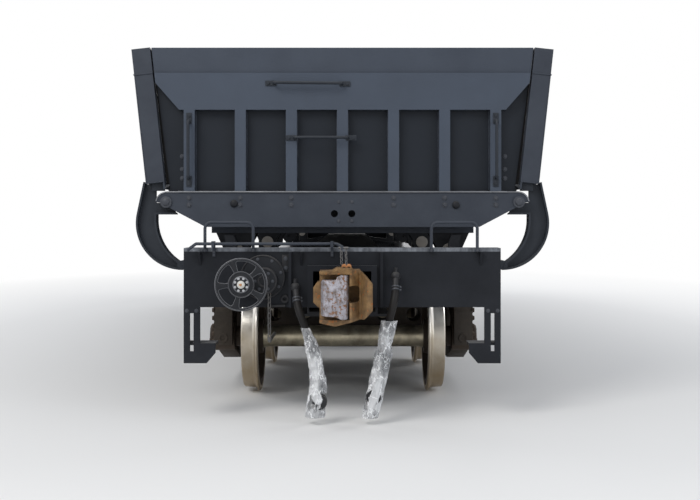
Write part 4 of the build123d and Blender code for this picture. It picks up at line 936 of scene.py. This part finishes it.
# %% Sill bars and the crossbeam's flange
hinge_x, hinge_z = 1.287, 1.542
flange_front, hook_radius = 5.812, 0.073
sills = [box_piece((side * 1.250, -5.695, 1.627), (side * 1.2905, 5.695, 1.662), 0.003)
         for side in (-1, 1)]
keep(joined(*sills), "floor_sill_bars", trough, "tipping_body")
# The flange lips are a pale line along the crossbeam's top edge: a painted highlight.
flanges = [box_piece((-1.200, end * 5.800, 1.6105), (1.200, end * 5.822, 1.6215), 0.003)
           for end in (-1, 1)]
for side in (-1, 1):
    for end in (-flange_front, flange_front):
        arc = [(side * (hinge_x + hook_radius * math.sin(math.radians(angle))), end,
                hinge_z + hook_radius * math.cos(math.radians(angle))) for angle in (0, 30, 60, 85)]
        flanges.append(bent_rod([(side * 1.190, end, 1.615)] + arc, 0.0055, 0.015))
keep(joined(*flanges), "crossbeam_flange_lips", painted_highlight_edge, "tipping_body")

# %% [markdown]
# The bogie's springs carry the whole car, so they are modelled turn by turn. A small circle is
# swept by a Screw modifier into a coil, a thinner one is set inside it, and each nest is copied.

# %% Coil springs in place of the plain rods
side_frame_x = 0.978
spring_low, spring_high = 0.276, 0.519


def coil(radius, wire, turns):
    """A spring about Z between the spring plates, its ends closed."""
    bpy.ops.object.select_all(action="DESELECT")
    bpy.ops.mesh.primitive_circle_add(vertices=10, radius=wire,
                                      location=(radius, 0, spring_low + wire),
                                      rotation=(math.radians(90), 0, 0))
    rising = spring_high - spring_low - 2 * wire
    applied(placed(), "SCREW", angle=2 * math.pi, iterations=turns, screw_offset=rising / turns,
            steps=22, render_steps=22)
    choose_all()
    bpy.ops.mesh.fill_holes(sides=12)
    return faced_out()


for bogie, middle in (("a", -bogie_y), ("b", bogie_y)):
    nest = joined(coil(0.0445, 0.0125, 5), coil(0.0215, 0.0075, 8))
    spots = [Matrix.Translation((x, middle + dy, 0)) for x in (-side_frame_x, side_frame_x)
             for dy in (-0.13, 0.0, 0.13)]
    keep(copies(nest, spots), "coil_springs_" + bogie, spring_black, "bogie_" + bogie,
         60, instead=("springs_" + bogie,))

# %% [markdown]
# The hand brake's wheel is pressed from plate: a thin rim, five spokes between rounded windows, and
# a hub flange with a ring of bolts. Each window is one rectangle spun through its angle, rounded at
# its corners and cut out with a Boolean, and a bevel then gives every lip its bright edge.

# %% Hand wheel: plate and windows
wheel_x, wheel_y, wheel_z = -0.695, -6.250, 0.966
rim_radius, window_inner, window_outer = 0.178, 0.092, 0.161
half_window = math.radians(27)


def window_cutter(middle):
    """Ring sector between two spokes with rounded corners, about the Z axis."""
    start = middle - half_window
    bpy.ops.object.select_all(action="DESELECT")
    bpy.ops.mesh.primitive_plane_add(size=1)
    cutter = placed()
    for point in cutter.data.vertices:
        radius = window_inner if point.co.x < 0 else window_outer
        point.co = (radius * math.cos(start), radius * math.sin(start),
                    0.05 if point.co.y > 0 else -0.05)
    choose_all()
    bpy.ops.mesh.spin(steps=16, angle=2 * half_window, center=(0, 0, 0), axis=(0, 0, 1))
    bpy.ops.mesh.select_all(action="SELECT")
    bpy.ops.mesh.fill_holes(sides=4)
    faced_out()
    # The spin may go either way round, so the sector is turned back to its middle.
    centre = sum((point.co for point in cutter.data.vertices), Vector()) / len(cutter.data.vertices)
    cutter.data.transform(Matrix.Rotation(middle - math.atan2(centre.y, centre.x), 4, "Z"))

    def corner(edge):
        """True for the upright edges at the sector's two sides."""
        spot = cutter.data.vertices[edge.vertices[0]].co
        from_middle = (math.atan2(spot.y, spot.x) - middle + math.pi) % (2 * math.pi) - math.pi
        return rise(cutter, edge) > 0.09 and abs(from_middle) > half_window * 0.99

    choose(cutter, "EDGE", corner)
    bpy.ops.mesh.bevel(offset=0.018, segments=5)
    return done()


bpy.ops.object.select_all(action="DESELECT")
bpy.ops.mesh.primitive_cylinder_add(vertices=96, radius=rim_radius, depth=0.010)
plate_disc = placed()
for k in range(5):
    cutter = window_cutter(math.radians(148 + 72 * k))
    applied(plate_disc, "BOOLEAN", object=cutter, solver="EXACT")
    bpy.data.objects.remove(cutter)
rounded(plate_disc, 0.0028, 2, 40)
print("wheel plate", len(plate_disc.data.vertices), "points")

# %% Hand wheel: rim, hub and shaft
bpy.ops.object.select_all(action="DESELECT")
bpy.ops.mesh.primitive_torus_add(major_radius=rim_radius, minor_radius=0.0060, major_segments=96,
                                 minor_segments=14)
rim = placed()
choose(rim, "VERT", lambda point: point.co.xy.length > rim_radius)
bpy.ops.transform.resize(value=(1.004, 1.004, 1.15))
done()
lips = ring(0.084, 0.091, -0.010, 0.010, 0.35, 64)
hub = turned([(0.0, -0.014), (0.0, 0.014), (0.050, 0.014), (0.058, 0.010), (0.060, 0.004),
              (0.066, 0.001), (0.066, -0.010), (0.060, -0.014)], 48)
shaft = turned([(0.0, -0.085), (0.0, 0.0), (0.020, 0.0), (0.020, -0.085)], 24)
wheel = set_at(joined(plate_disc, rim, lips, hub, shaft), toward_a, (wheel_x, wheel_y, wheel_z))
keep(wheel, "hand_brake_wheel", frame_black, "underframe", 40,
     instead=("brake_handwheel",))
# Faces that lean are the bevels and the rim; their pale finish is a painted highlight on the lips.
wheel.data.materials.append(painted_highlight_edge)
for face in wheel.data.polygons:
    face.material_index = int(0.40 < abs(face.normal.y) < 0.93)

# %% Hand wheel: hub bolts and the painted cap
hub_bolts = bolt_circle((wheel_x, wheel_y - 0.014, wheel_z), 0.044,
                        [22.5 + 45 * k for k in range(8)], toward_a)
bolt_set("hand_wheel_bolts", 0.0062, "underframe", hub_bolts, bright_bolt)
cap = turned([(0.0, 0.0), (0.0, 0.020), (0.010, 0.0195), (0.020, 0.017), (0.026, 0.012),
              (0.0275, 0.005), (0.0275, 0.0)], 32)
keep(set_at(cap, toward_a, (wheel_x, wheel_y - 0.013, wheel_z)), "hand_wheel_cap", cap_white,
     "underframe", 40)
keep(set_at(dome(0.009, 0.005), toward_a, (wheel_x, wheel_y - 0.0325, wheel_z)),
     "hand_wheel_cap_stud", orange_rust, "underframe")

# %% [markdown]
# Behind the wheel are a round gear plate and a chain drum. The CAD solids give their size; turned
# rings add the machined lips that catch the light, and bolts hold the plate to the beam.

# %% Gear plate and drum rings
gear_x, gear_y, gear_z = -0.560, -6.090, 1.008
drum_x, drum_y, drum_z = -0.546, -6.165, 0.984
gear_rings = []
for x, z, front, inner, outer in ((gear_x, gear_z, gear_y, 0.146, 0.1575),
                                  (drum_x, drum_z, drum_y, 0.080, 0.0935),
                                  (drum_x, drum_z, drum_y, 0.030, 0.044),
                                  (wheel_x, wheel_z, drum_y, 0.032, 0.050)):
    gear_rings.append(set_at(ring(inner, outer, -0.002, 0.006, 0.4, 56), toward_a, (x, front, z)))
keep(joined(*gear_rings), "gear_case_rings", fitting_dark, "underframe", 40)
gear_bolts = bolt_circle((gear_x, gear_y, gear_z), 0.132, (-30, 15, 60, 105), toward_a)
gear_bolts += bolt_circle((drum_x, drum_y, drum_z), 0.062, range(0, 360, 60), toward_a)
bolt_set("gear_case_bolts", 0.008, "underframe", gear_bolts)

# %% [markdown]
# A chain is one link, repeated and turned a quarter each time. The link starts as a torus; its
# right half is moved out to make the straight sides. It replaces the plain strand of the CAD.


# %% Chains
def chain_link(length, width, wire):
    """One link along Z, centred on the origin."""
    bpy.ops.object.select_all(action="DESELECT")
    bpy.ops.mesh.primitive_torus_add(major_radius=(width - wire) / 2, minor_radius=wire / 2,
                                     major_segments=18, minor_segments=8)
    link = placed()
    choose(link, "VERT", lambda point: point.co.x > 0)
    bpy.ops.transform.translate(value=(length - width, 0, 0))
    done()
    link.data.transform(Matrix.Rotation(math.radians(-90), 4, "Y")
                        @ Matrix.Translation((-(length - width) / 2, 0, 0)))
    return link


def chain(top, bottom, length, width, wire):
    """Links from one point to another, each turned a quarter from the last."""
    run = Vector(bottom) - Vector(top)
    pitch = length - 2 * wire
    count = max(2, round(run.length / pitch))
    spots = [pointing(run, Vector(top) + run * ((k + 0.5) / count), math.radians(45 + 90 * k))
             for k in range(count)]
    return copies(chain_link(length, width, wire), spots)


# %% The brake chain, its pull rod and the lock lifters' chains
chain_x, chain_y, rod_z = -0.511, -6.110, 0.560
brake_strand = chain((chain_x, chain_y, 0.905), (chain_x, chain_y, 0.575), 0.050, 0.029, 0.0075)
hook = bent_rod([(chain_x, chain_y, 0.590), (chain_x, chain_y, rod_z), (chain_x, -6.060, rod_z),
                 (chain_x, -5.580, rod_z)], 0.0125, 0.015)
keep(joined(brake_strand, hook), "brake_chain_links", chain_steel, "underframe",
     40, instead=("brake_chain",))
coupler_y, lever_y = 6.345, 6.262
lifter_chains = [chain((-end * x, end * lever_y, 1.214),
                       (-end * (x + 0.004), end * coupler_y, 1.107), 0.036, 0.021, 0.0055)
                 for end in (-1, 1) for x in (-0.006, 0.026)]
shackles = [bent_rod([(end * 0.024, end * lever_y, 1.219), (-end * 0.044, end * lever_y, 1.219)],
                     0.0085) for end in (-1, 1)]
keep(joined(*lifter_chains, *shackles), "lifter_chains", chain_steel, "underframe",
     40)

# %% [markdown]
# The coupler and its knuckle are castings: no edge on them is sharp. The CAD solid has the right
# form, so a merged copy of its mesh is taken, flat faces are joined again, and a bevel rounds every
# edge. The bogies' side frames and bolsters are cast too, and get the same treatment.


# %% Cast edges
def cast_copy(node, width, segments):
    """A merged copy of a CAD node's mesh with its edges rounded."""
    piece = bpy.data.objects.new(node, nodes[node].data.copy())
    bpy.context.scene.collection.objects.link(piece)
    pick(piece)
    bpy.ops.mesh.customdata_custom_splitnormals_clear()
    choose_all()
    bpy.ops.mesh.remove_doubles(threshold=0.00002)
    bpy.ops.mesh.dissolve_limited(angle_limit=math.radians(1.5))
    done()
    return rounded(piece, width, segments, 28)


castings = (
    ("coupler_a", 0.009, 3, ochre_cast, "underframe", "coupler_cast"),
    ("coupler_b", 0.009, 3, ochre_cast, "underframe", "coupler_cast"),
    ("knuckles", 0.013, 4, scuffed, "underframe", "coupler_cast"),
    ("side_frames_a", 0.010, 2, bogie_black, "bogie_a", "bogie_cast"),
    ("side_frames_b", 0.010, 2, bogie_black, "bogie_b", "bogie_cast"),
    ("bogie_bolster_a", 0.008, 2, bogie_black, "bogie_a", "bogie_cast"),
    ("bogie_bolster_b", 0.008, 2, bogie_black, "bogie_b", "bogie_cast"),
)
for node, width, segments, finish, body, slot in castings:
    keep(cast_copy(node, width, segments), node + "_cast", finish, body, 40, instead=(node,))

# %% [markdown]
# On top of the coupler's head two rusty lugs lift the lock. They are small forged plates, each a
# block with a round boss on top. Only their outline and their rust show, so a bevelled block and a
# turned boss are enough.

# %% Lock lifter lugs
lugs = []
for end in (-1, 1):
    for x in (-end * 0.015, -end * 0.048):
        boss = turned([(0.0, -0.008), (0.0, 0.008), (0.012, 0.008), (0.017, 0.004),
                       (0.017, -0.004), (0.012, -0.008)], 24)
        lugs.append(set_at(boss, toward_a, (x, end * coupler_y, 1.096)))
        lugs.append(box_piece((x - 0.016, end * coupler_y - 0.008, 1.070),
                              (x + 0.016, end * coupler_y + 0.008, 1.097), 0.003))
keep(joined(*lugs), "lock_lifter_lugs", orange_rust, "underframe", 40)

# %% [markdown]
# Small fittings of the end beam: a bolted plate left of the coupler, an eye for the pull rod and
# its short bar, and bolts through the steps' hangers and the grab rails' feet. They are what makes
# a flat beam look built, and blocks, rings and rods from the helpers give them all.

# %% Fittings on the end beam
beam_front = 6.060
plate_piece = box_piece((-0.425, -beam_front - 0.010, 1.045), (-0.372, -beam_front, 1.165), 0.003)
keep(plate_piece, "beam_small_plate", fitting_dark, "underframe")
bolt_set("beam_plate_bolts", 0.011, "underframe",
         [((-0.398, -beam_front - 0.010, z), toward_a) for z in (1.139, 1.072)])
eye = set_at(ring(0.012, 0.030, -0.010, 0.010, 0.3, 32), toward_a,
             (-0.404, -beam_front - 0.012, 0.853))
eye_bar = bent_rod([(-0.500, -beam_front - 0.014, 0.806), (-0.404, -beam_front - 0.014, 0.806)],
                   0.008)
keep(joined(eye, eye_bar), "rod_eye", fitting_dark, "underframe", 40)
rail_feet = [(x, 6.090, 1.197) for x in (-0.967, -0.627, 0.628, 0.952)]
bolt_set("rail_foot_bolts", 0.008, "underframe", ends(rail_feet))
step_bolts = [(x, beam_front, 0.770) for x in (-1.098, -1.030, 1.030, 1.098)]
bolt_set("step_bolts", 0.010, "underframe", ends(step_bolts))
# The cut lever is on the other side at end B, so its brackets are turned and not mirrored.
lever_bolts = [((-end * x, end * 6.072, z), (0, end, 0)) for end in (-1, 1)
               for x in (-0.905, -0.072) for z in (1.163, 1.185)]
bolt_set("lever_bracket_bolts", 0.0065, "underframe", lever_bolts)

# %% [markdown]
# Each bearing turns inside its adapter and is closed by an end cap that three bolts and a locking
# ring hold to the axle, so the bolts go round with the wheels. The cap is a part of the CAD
# wheelset already, so only the bolts and the ring are added on its face.

# %% Bearing cap bolts and rings
box_half_length, cap_thickness = 0.085, 0.030
cap_face = side_frame_x + box_half_length + cap_thickness
for place, axle_y in axles:
    position, bogie = place.split("_")
    body = "wheels_" + bogie + "_" + position
    heads = []
    for side in (-1, 1):
        heads += bolt_circle((side * cap_face, axle_y, axle_z), 0.052, (90, 210, 330), (side, 0, 0))
    bolt_set(body + "_cap_bolts", 0.014, body, heads, bearing_brown)
    rings = [set_at(ring(0.070, 0.092, -0.004, 0.005, 0.4), (side, 0, 0),
                    (side * cap_face, axle_y, axle_z)) for side in (-1, 1)]
    keep(joined(*rings), body + "_cap_rings", bearing_brown, body, 40)

# %% [markdown]
# Seen from the end, the side frames' outer faces carry a column of large nuts that breaks their
# outline, and a round boss marks each end. The places come from a ray cast onto the casting itself,
# so nuts and bosses sit on its surface.

# %% Nuts and bosses on the side frames
nut_levels = (0.675, 0.610, 0.545, 0.480, 0.420)
# The rays start this far out, well off the casting.
outside = 2.0
for bogie, middle in (("a", -bogie_y), ("b", bogie_y)):
    mesh = nodes["side_frames_" + bogie].data
    casting = BVHTree.FromPolygons([vertex.co for vertex in mesh.vertices],
                                   [tuple(face.vertices) for face in mesh.polygons])
    nuts = []
    bosses = []
    for side in (-1, 1):
        for end in (-1, 1):
            for z in nut_levels:
                start = Vector((side * outside, middle + end * 1.030, z))
                nuts.append((casting.ray_cast(start, Vector((-side, 0, 0)))[0], (side, 0, 0)))
            start = Vector((side * side_frame_x, middle + end * outside, 0.448))
            found = casting.ray_cast(start, Vector((0, -end, 0)))[0]
            bosses.append(set_at(ring(0.020, 0.040, -0.004, 0.008, 0.35, 32), (0, end, 0), found))
    bolt_set("side_frame_nuts_" + bogie, 0.019, "bogie_" + bogie, nuts, bearing_brown)
    keep(joined(*bosses), "side_frame_bosses_" + bogie, bogie_black, "bogie_" + bogie,
         40)

# %% [markdown]
# The air reservoirs hang in steel bands, their domed ends are welded on, and each has a drain cock
# underneath. The dump cylinders have a gland ring at the top of each barrel. All of these are
# round, so each is a profile turned about Z and then pointed along its tank or cylinder.

# %% Reservoir bands and drains
tank_x, tank_z, tank_radius = 0.600, 0.640, 0.225
# Along each tank: where, half the width and how proud. Welds are at the ends, bands between them.
tank_rings = ((-0.95, 0.004, 0.004), (-0.525, 0.030, 0.006), (0.525, 0.030, 0.006),
              (0.95, 0.004, 0.004))
bands = []
for side in (-1, 1):
    for y, wide, proud in tank_rings:
        band = ring(tank_radius - 0.004, tank_radius + proud, -wide, wide, 0.3, 56)
        bands.append(set_at(band, toward_b, (side * tank_x, y, tank_z)))
    drain = turned([(0.0, 0.0), (0.0, 0.055), (0.011, 0.055), (0.011, 0.030), (0.018, 0.028),
                    (0.018, 0.010), (0.012, 0.008), (0.012, 0.0)], 20)
    bands.append(set_at(drain, (0, 0, -1), (side * tank_x, 0.0, tank_z - tank_radius + 0.003)))
keep(joined(*bands), "reservoir_bands", frame_black, "underframe", 40)

# %% Gland rings of the dump cylinders
lean = math.atan2(0.020, 0.230)
cradle_x, cradle_z, barrel_top = 0.780, 0.950, 0.062
gland_height, gland_bolt_circle = 0.026, 0.1935
lengthwise = Vector(toward_b)
for side, name in ((-1, "left"), (1, "right")):
    along = Vector((side * math.sin(lean), 0, math.cos(lean)))
    across = along.cross(lengthwise).normalized()
    glands = []
    heads = []
    for y in (-1.5, 1.5):
        top = Vector((side * cradle_x, y, cradle_z)) + along * barrel_top
        glands.append(set_at(ring(0.172, 0.199, -gland_height, 0.0, 0.25, 56), along, top))
        for turn in (math.radians(30 * k) for k in range(12)):
            around = lengthwise * math.cos(turn) + across * math.sin(turn)
            heads.append((top + around * gland_bolt_circle - along * gland_height, -along))
    keep(joined(*glands), name + "_gland_rings", frame_black, name + "_barrels", 40)
    bolt_set(name + "_gland_bolts", 0.007, name + "_barrels", heads)

# %% [markdown]
# Along the sides, washers and flat heads keep the doors' hinge pins in their cheeks. They are
# turned like the rings. The pins don't move in the cheeks, so the washers ride with the body.

# %% Hinge pin washers
hinge_pitch = 2.050
cheek_half_width, pin_half_length, end_pin_y = 0.051, 0.059, 5.826
washers = []
for side in (-1, 1):
    for y in (k * hinge_pitch for k in range(-2, 3)):
        for out in (-1, 1):
            washers.append(set_at(ring(0.031, 0.044, 0.0, 0.005, 0.3, 28), (0, out, 0),
                                  (side * hinge_x, y + out * cheek_half_width, hinge_z)))
            head = turned([(0.0, 0.0), (0.0, 0.004), (0.024, 0.004), (0.029, 0.0)], 24)
            washers.append(set_at(head, (0, out, 0),
                                  (side * hinge_x, y + out * pin_half_length, hinge_z)))
    for out in (-1, 1):
        end_head = turned([(0.0, -0.004), (0.0, 0.010), (0.020, 0.010), (0.026, 0.006),
                           (0.028, 0.0), (0.042, -0.002), (0.042, -0.004)], 28)
        washers.append(set_at(end_head, (0, out, 0), (side * hinge_x, out * end_pin_y, hinge_z)))
keep(joined(*washers), "hinge_pin_washers", bolt_steel, "tipping_body", 40)

# %% [markdown]
# Both hoses still wear the crumpled plastic film they were delivered in, gathered round the
# coupling heads. A film is all folds, so a tube is built along the hose's own line, its radius
# pushed in and out by sharp ridges of noise, and given a thin wall. Milky where it is folded and
# thin where it isn't, it lets some of the dark hose show through.


# %% Film finish
def make_film():
    """Milky folds and thin creases, with openings low down round the coupling head."""
    open_top, open_foot = 0.235, 0.085
    material, tree, shader = principled("wrap_film", (0.72, 0.74, 0.76), 0.28)
    upright = (1.0, 1.0, 0.6)
    broad = noise_node(tree, 13, 3, 0.5, upright)
    folds = span(tree, broad, 0.38, 0.62)
    from_half = math_node(tree, "SUBTRACT", noise_node(tree, 20, 3, 0.5, upright), 0.5)
    crease = span(tree, math_node(tree, "ABSOLUTE", from_half), 0.0, 0.022, 1.0, 0.0)
    milky = math_node(tree, "ADD", math_node(tree, "MULTIPLY", folds, 0.75), crease, clamp=True)
    feed(tree, shader.inputs["Base Color"],
         mix_color(tree, milky, (0.36, 0.37, 0.385, 1), (0.86, 0.87, 0.88, 1)))
    height = axis_of(tree, "Z")
    open_end = math_node(tree, "MULTIPLY", span(tree, height, open_top, open_top - 0.030),
                         span(tree, height, open_foot, open_foot + 0.030))
    gap = math_node(tree, "MULTIPLY", open_end, span(tree, broad, 0.56, 0.50))
    opened = math_node(tree, "MULTIPLY", gap, 0.7)
    feed(tree, shader.inputs["Alpha"],
         math_node(tree, "SUBTRACT", span(tree, milky, 0.0, 1.0, 0.45, 0.95), opened, clamp=True))
    feed(tree, shader.inputs["Roughness"], span(tree, folds, 0.0, 1.0, 0.20, 0.42))
    relief_into(tree, shader, noise_node(tree, 26, 4, 0.6, upright), 0.7, 0.006)
    return material


film = make_film()


# %% Helpers for the film wraps
def hose_line(route):
    """Points of a hose's centre line from the top down, read from its NURBS spline."""
    line = nurbs_line("line", route, 0.0)
    bpy.context.view_layer.update()
    read = bpy.data.meshes.new_from_object(line)
    points = [point.co.copy() for point in read.vertices]
    bpy.data.objects.remove(line)
    bpy.data.meshes.remove(read)
    return points if points[0].z > points[-1].z else points[::-1]


def between(values, share):
    """The value at a share of the way along a list, between its neighbours."""
    spot = share * (len(values) - 1)
    near = min(int(spot), len(values) - 2)
    return values[near] + (values[near + 1] - values[near]) * (spot - near)


def crumpled(base, out, share, seed):
    """The film's radius: sharp ridges where it is loose, and a fine crinkle all over."""
    ridge = 1 - abs(noise.noise(Vector((out.x * 2.1, out.y * 2.1, share * 9.0 + seed)))) * 2.6
    fine = noise.noise(Vector((out.x * 4, out.y * 4, share * 20 + seed * 3)))
    loose = min(1.0, base / 0.05)
    return base * (0.95 + 0.17 * ridge * loose + 0.08 * fine)


# %% Film wraps along the hoses
film_sides, film_cuts, film_wall, steps_to_foot = 56, 90, 0.0012, 14
# The film stays outside the hose as far as that goes, and closer below it.
hose_share, round_hose, below_hose = 0.7, 0.029, 0.012


def film_wrap(name, route, top, foot, widths, seed):
    """Crumpled film from a height on the hose down over its coupling head to a foot."""
    points = hose_line(route)
    end = points[-1]
    points += [end.lerp(Vector(foot), (k + 1) / steps_to_foot) for k in range(steps_to_foot)]
    points = [point for point in points if point.z < top]
    bpy.ops.object.select_all(action="DESELECT")
    bpy.ops.mesh.primitive_cylinder_add(vertices=film_sides, radius=0.04, depth=1,
                                        end_fill_type="NOTHING")
    wrap = placed()
    choose(wrap, "EDGE", lambda edge: rise(wrap, edge) > 0.5)
    bpy.ops.mesh.subdivide(number_cuts=film_cuts)
    done()
    for vertex in wrap.data.vertices:
        share = 0.5 - vertex.co.z
        angle = math.atan2(vertex.co.y, vertex.co.x)
        out = Vector((math.cos(angle), math.sin(angle), 0))
        radius = crumpled(between(widths, share), out, share, seed)
        least = round_hose if share < hose_share else below_hose
        vertex.co = between(points, share) + out * max(radius, least)
    choose_all()
    faced_out()
    applied(wrap, "SOLIDIFY", thickness=film_wall, offset=1)
    return keep(wrap, name, film, "underframe", 28)


film_left = film_wrap("film_wrap_left", routes["left"], 0.670, (-0.186, -6.222, 0.050),
                      (0.030, 0.035, 0.044, 0.048, 0.046, 0.047, 0.055, 0.060, 0.062), 1.7)
film_right = film_wrap("film_wrap_right", routes["right"], 0.725, (0.192, -6.226, 0.046),
                       (0.050, 0.052, 0.047, 0.043, 0.060, 0.052, 0.056, 0.056, 0.050), 5.2)

# %% [markdown]
# Two band clamps hold each hose on its cock's nozzle, with a small ear where the band is drawn
# tight.

# %% Hose clamps at the cocks
for side, route in routes.items():
    start = Vector(route[0])
    run = (Vector(route[1]) - start).normalized()
    bands = []
    for distance_along in (0.012, 0.034):
        spot = start + run * distance_along
        bands.append(set_at(ring(0.0268, 0.0305, -0.006, 0.006, 0.3, 32), run, spot))
        ear = box_piece((0.029, -0.006, -0.006), (0.041, 0.006, 0.006), 0.002, 1)
        bands.append(set_at(ear, run, spot))
    keep(joined(*bands), "hose_clamps_" + side, bolt_steel, "underframe",
                        40)

print("cords:", list(routes))
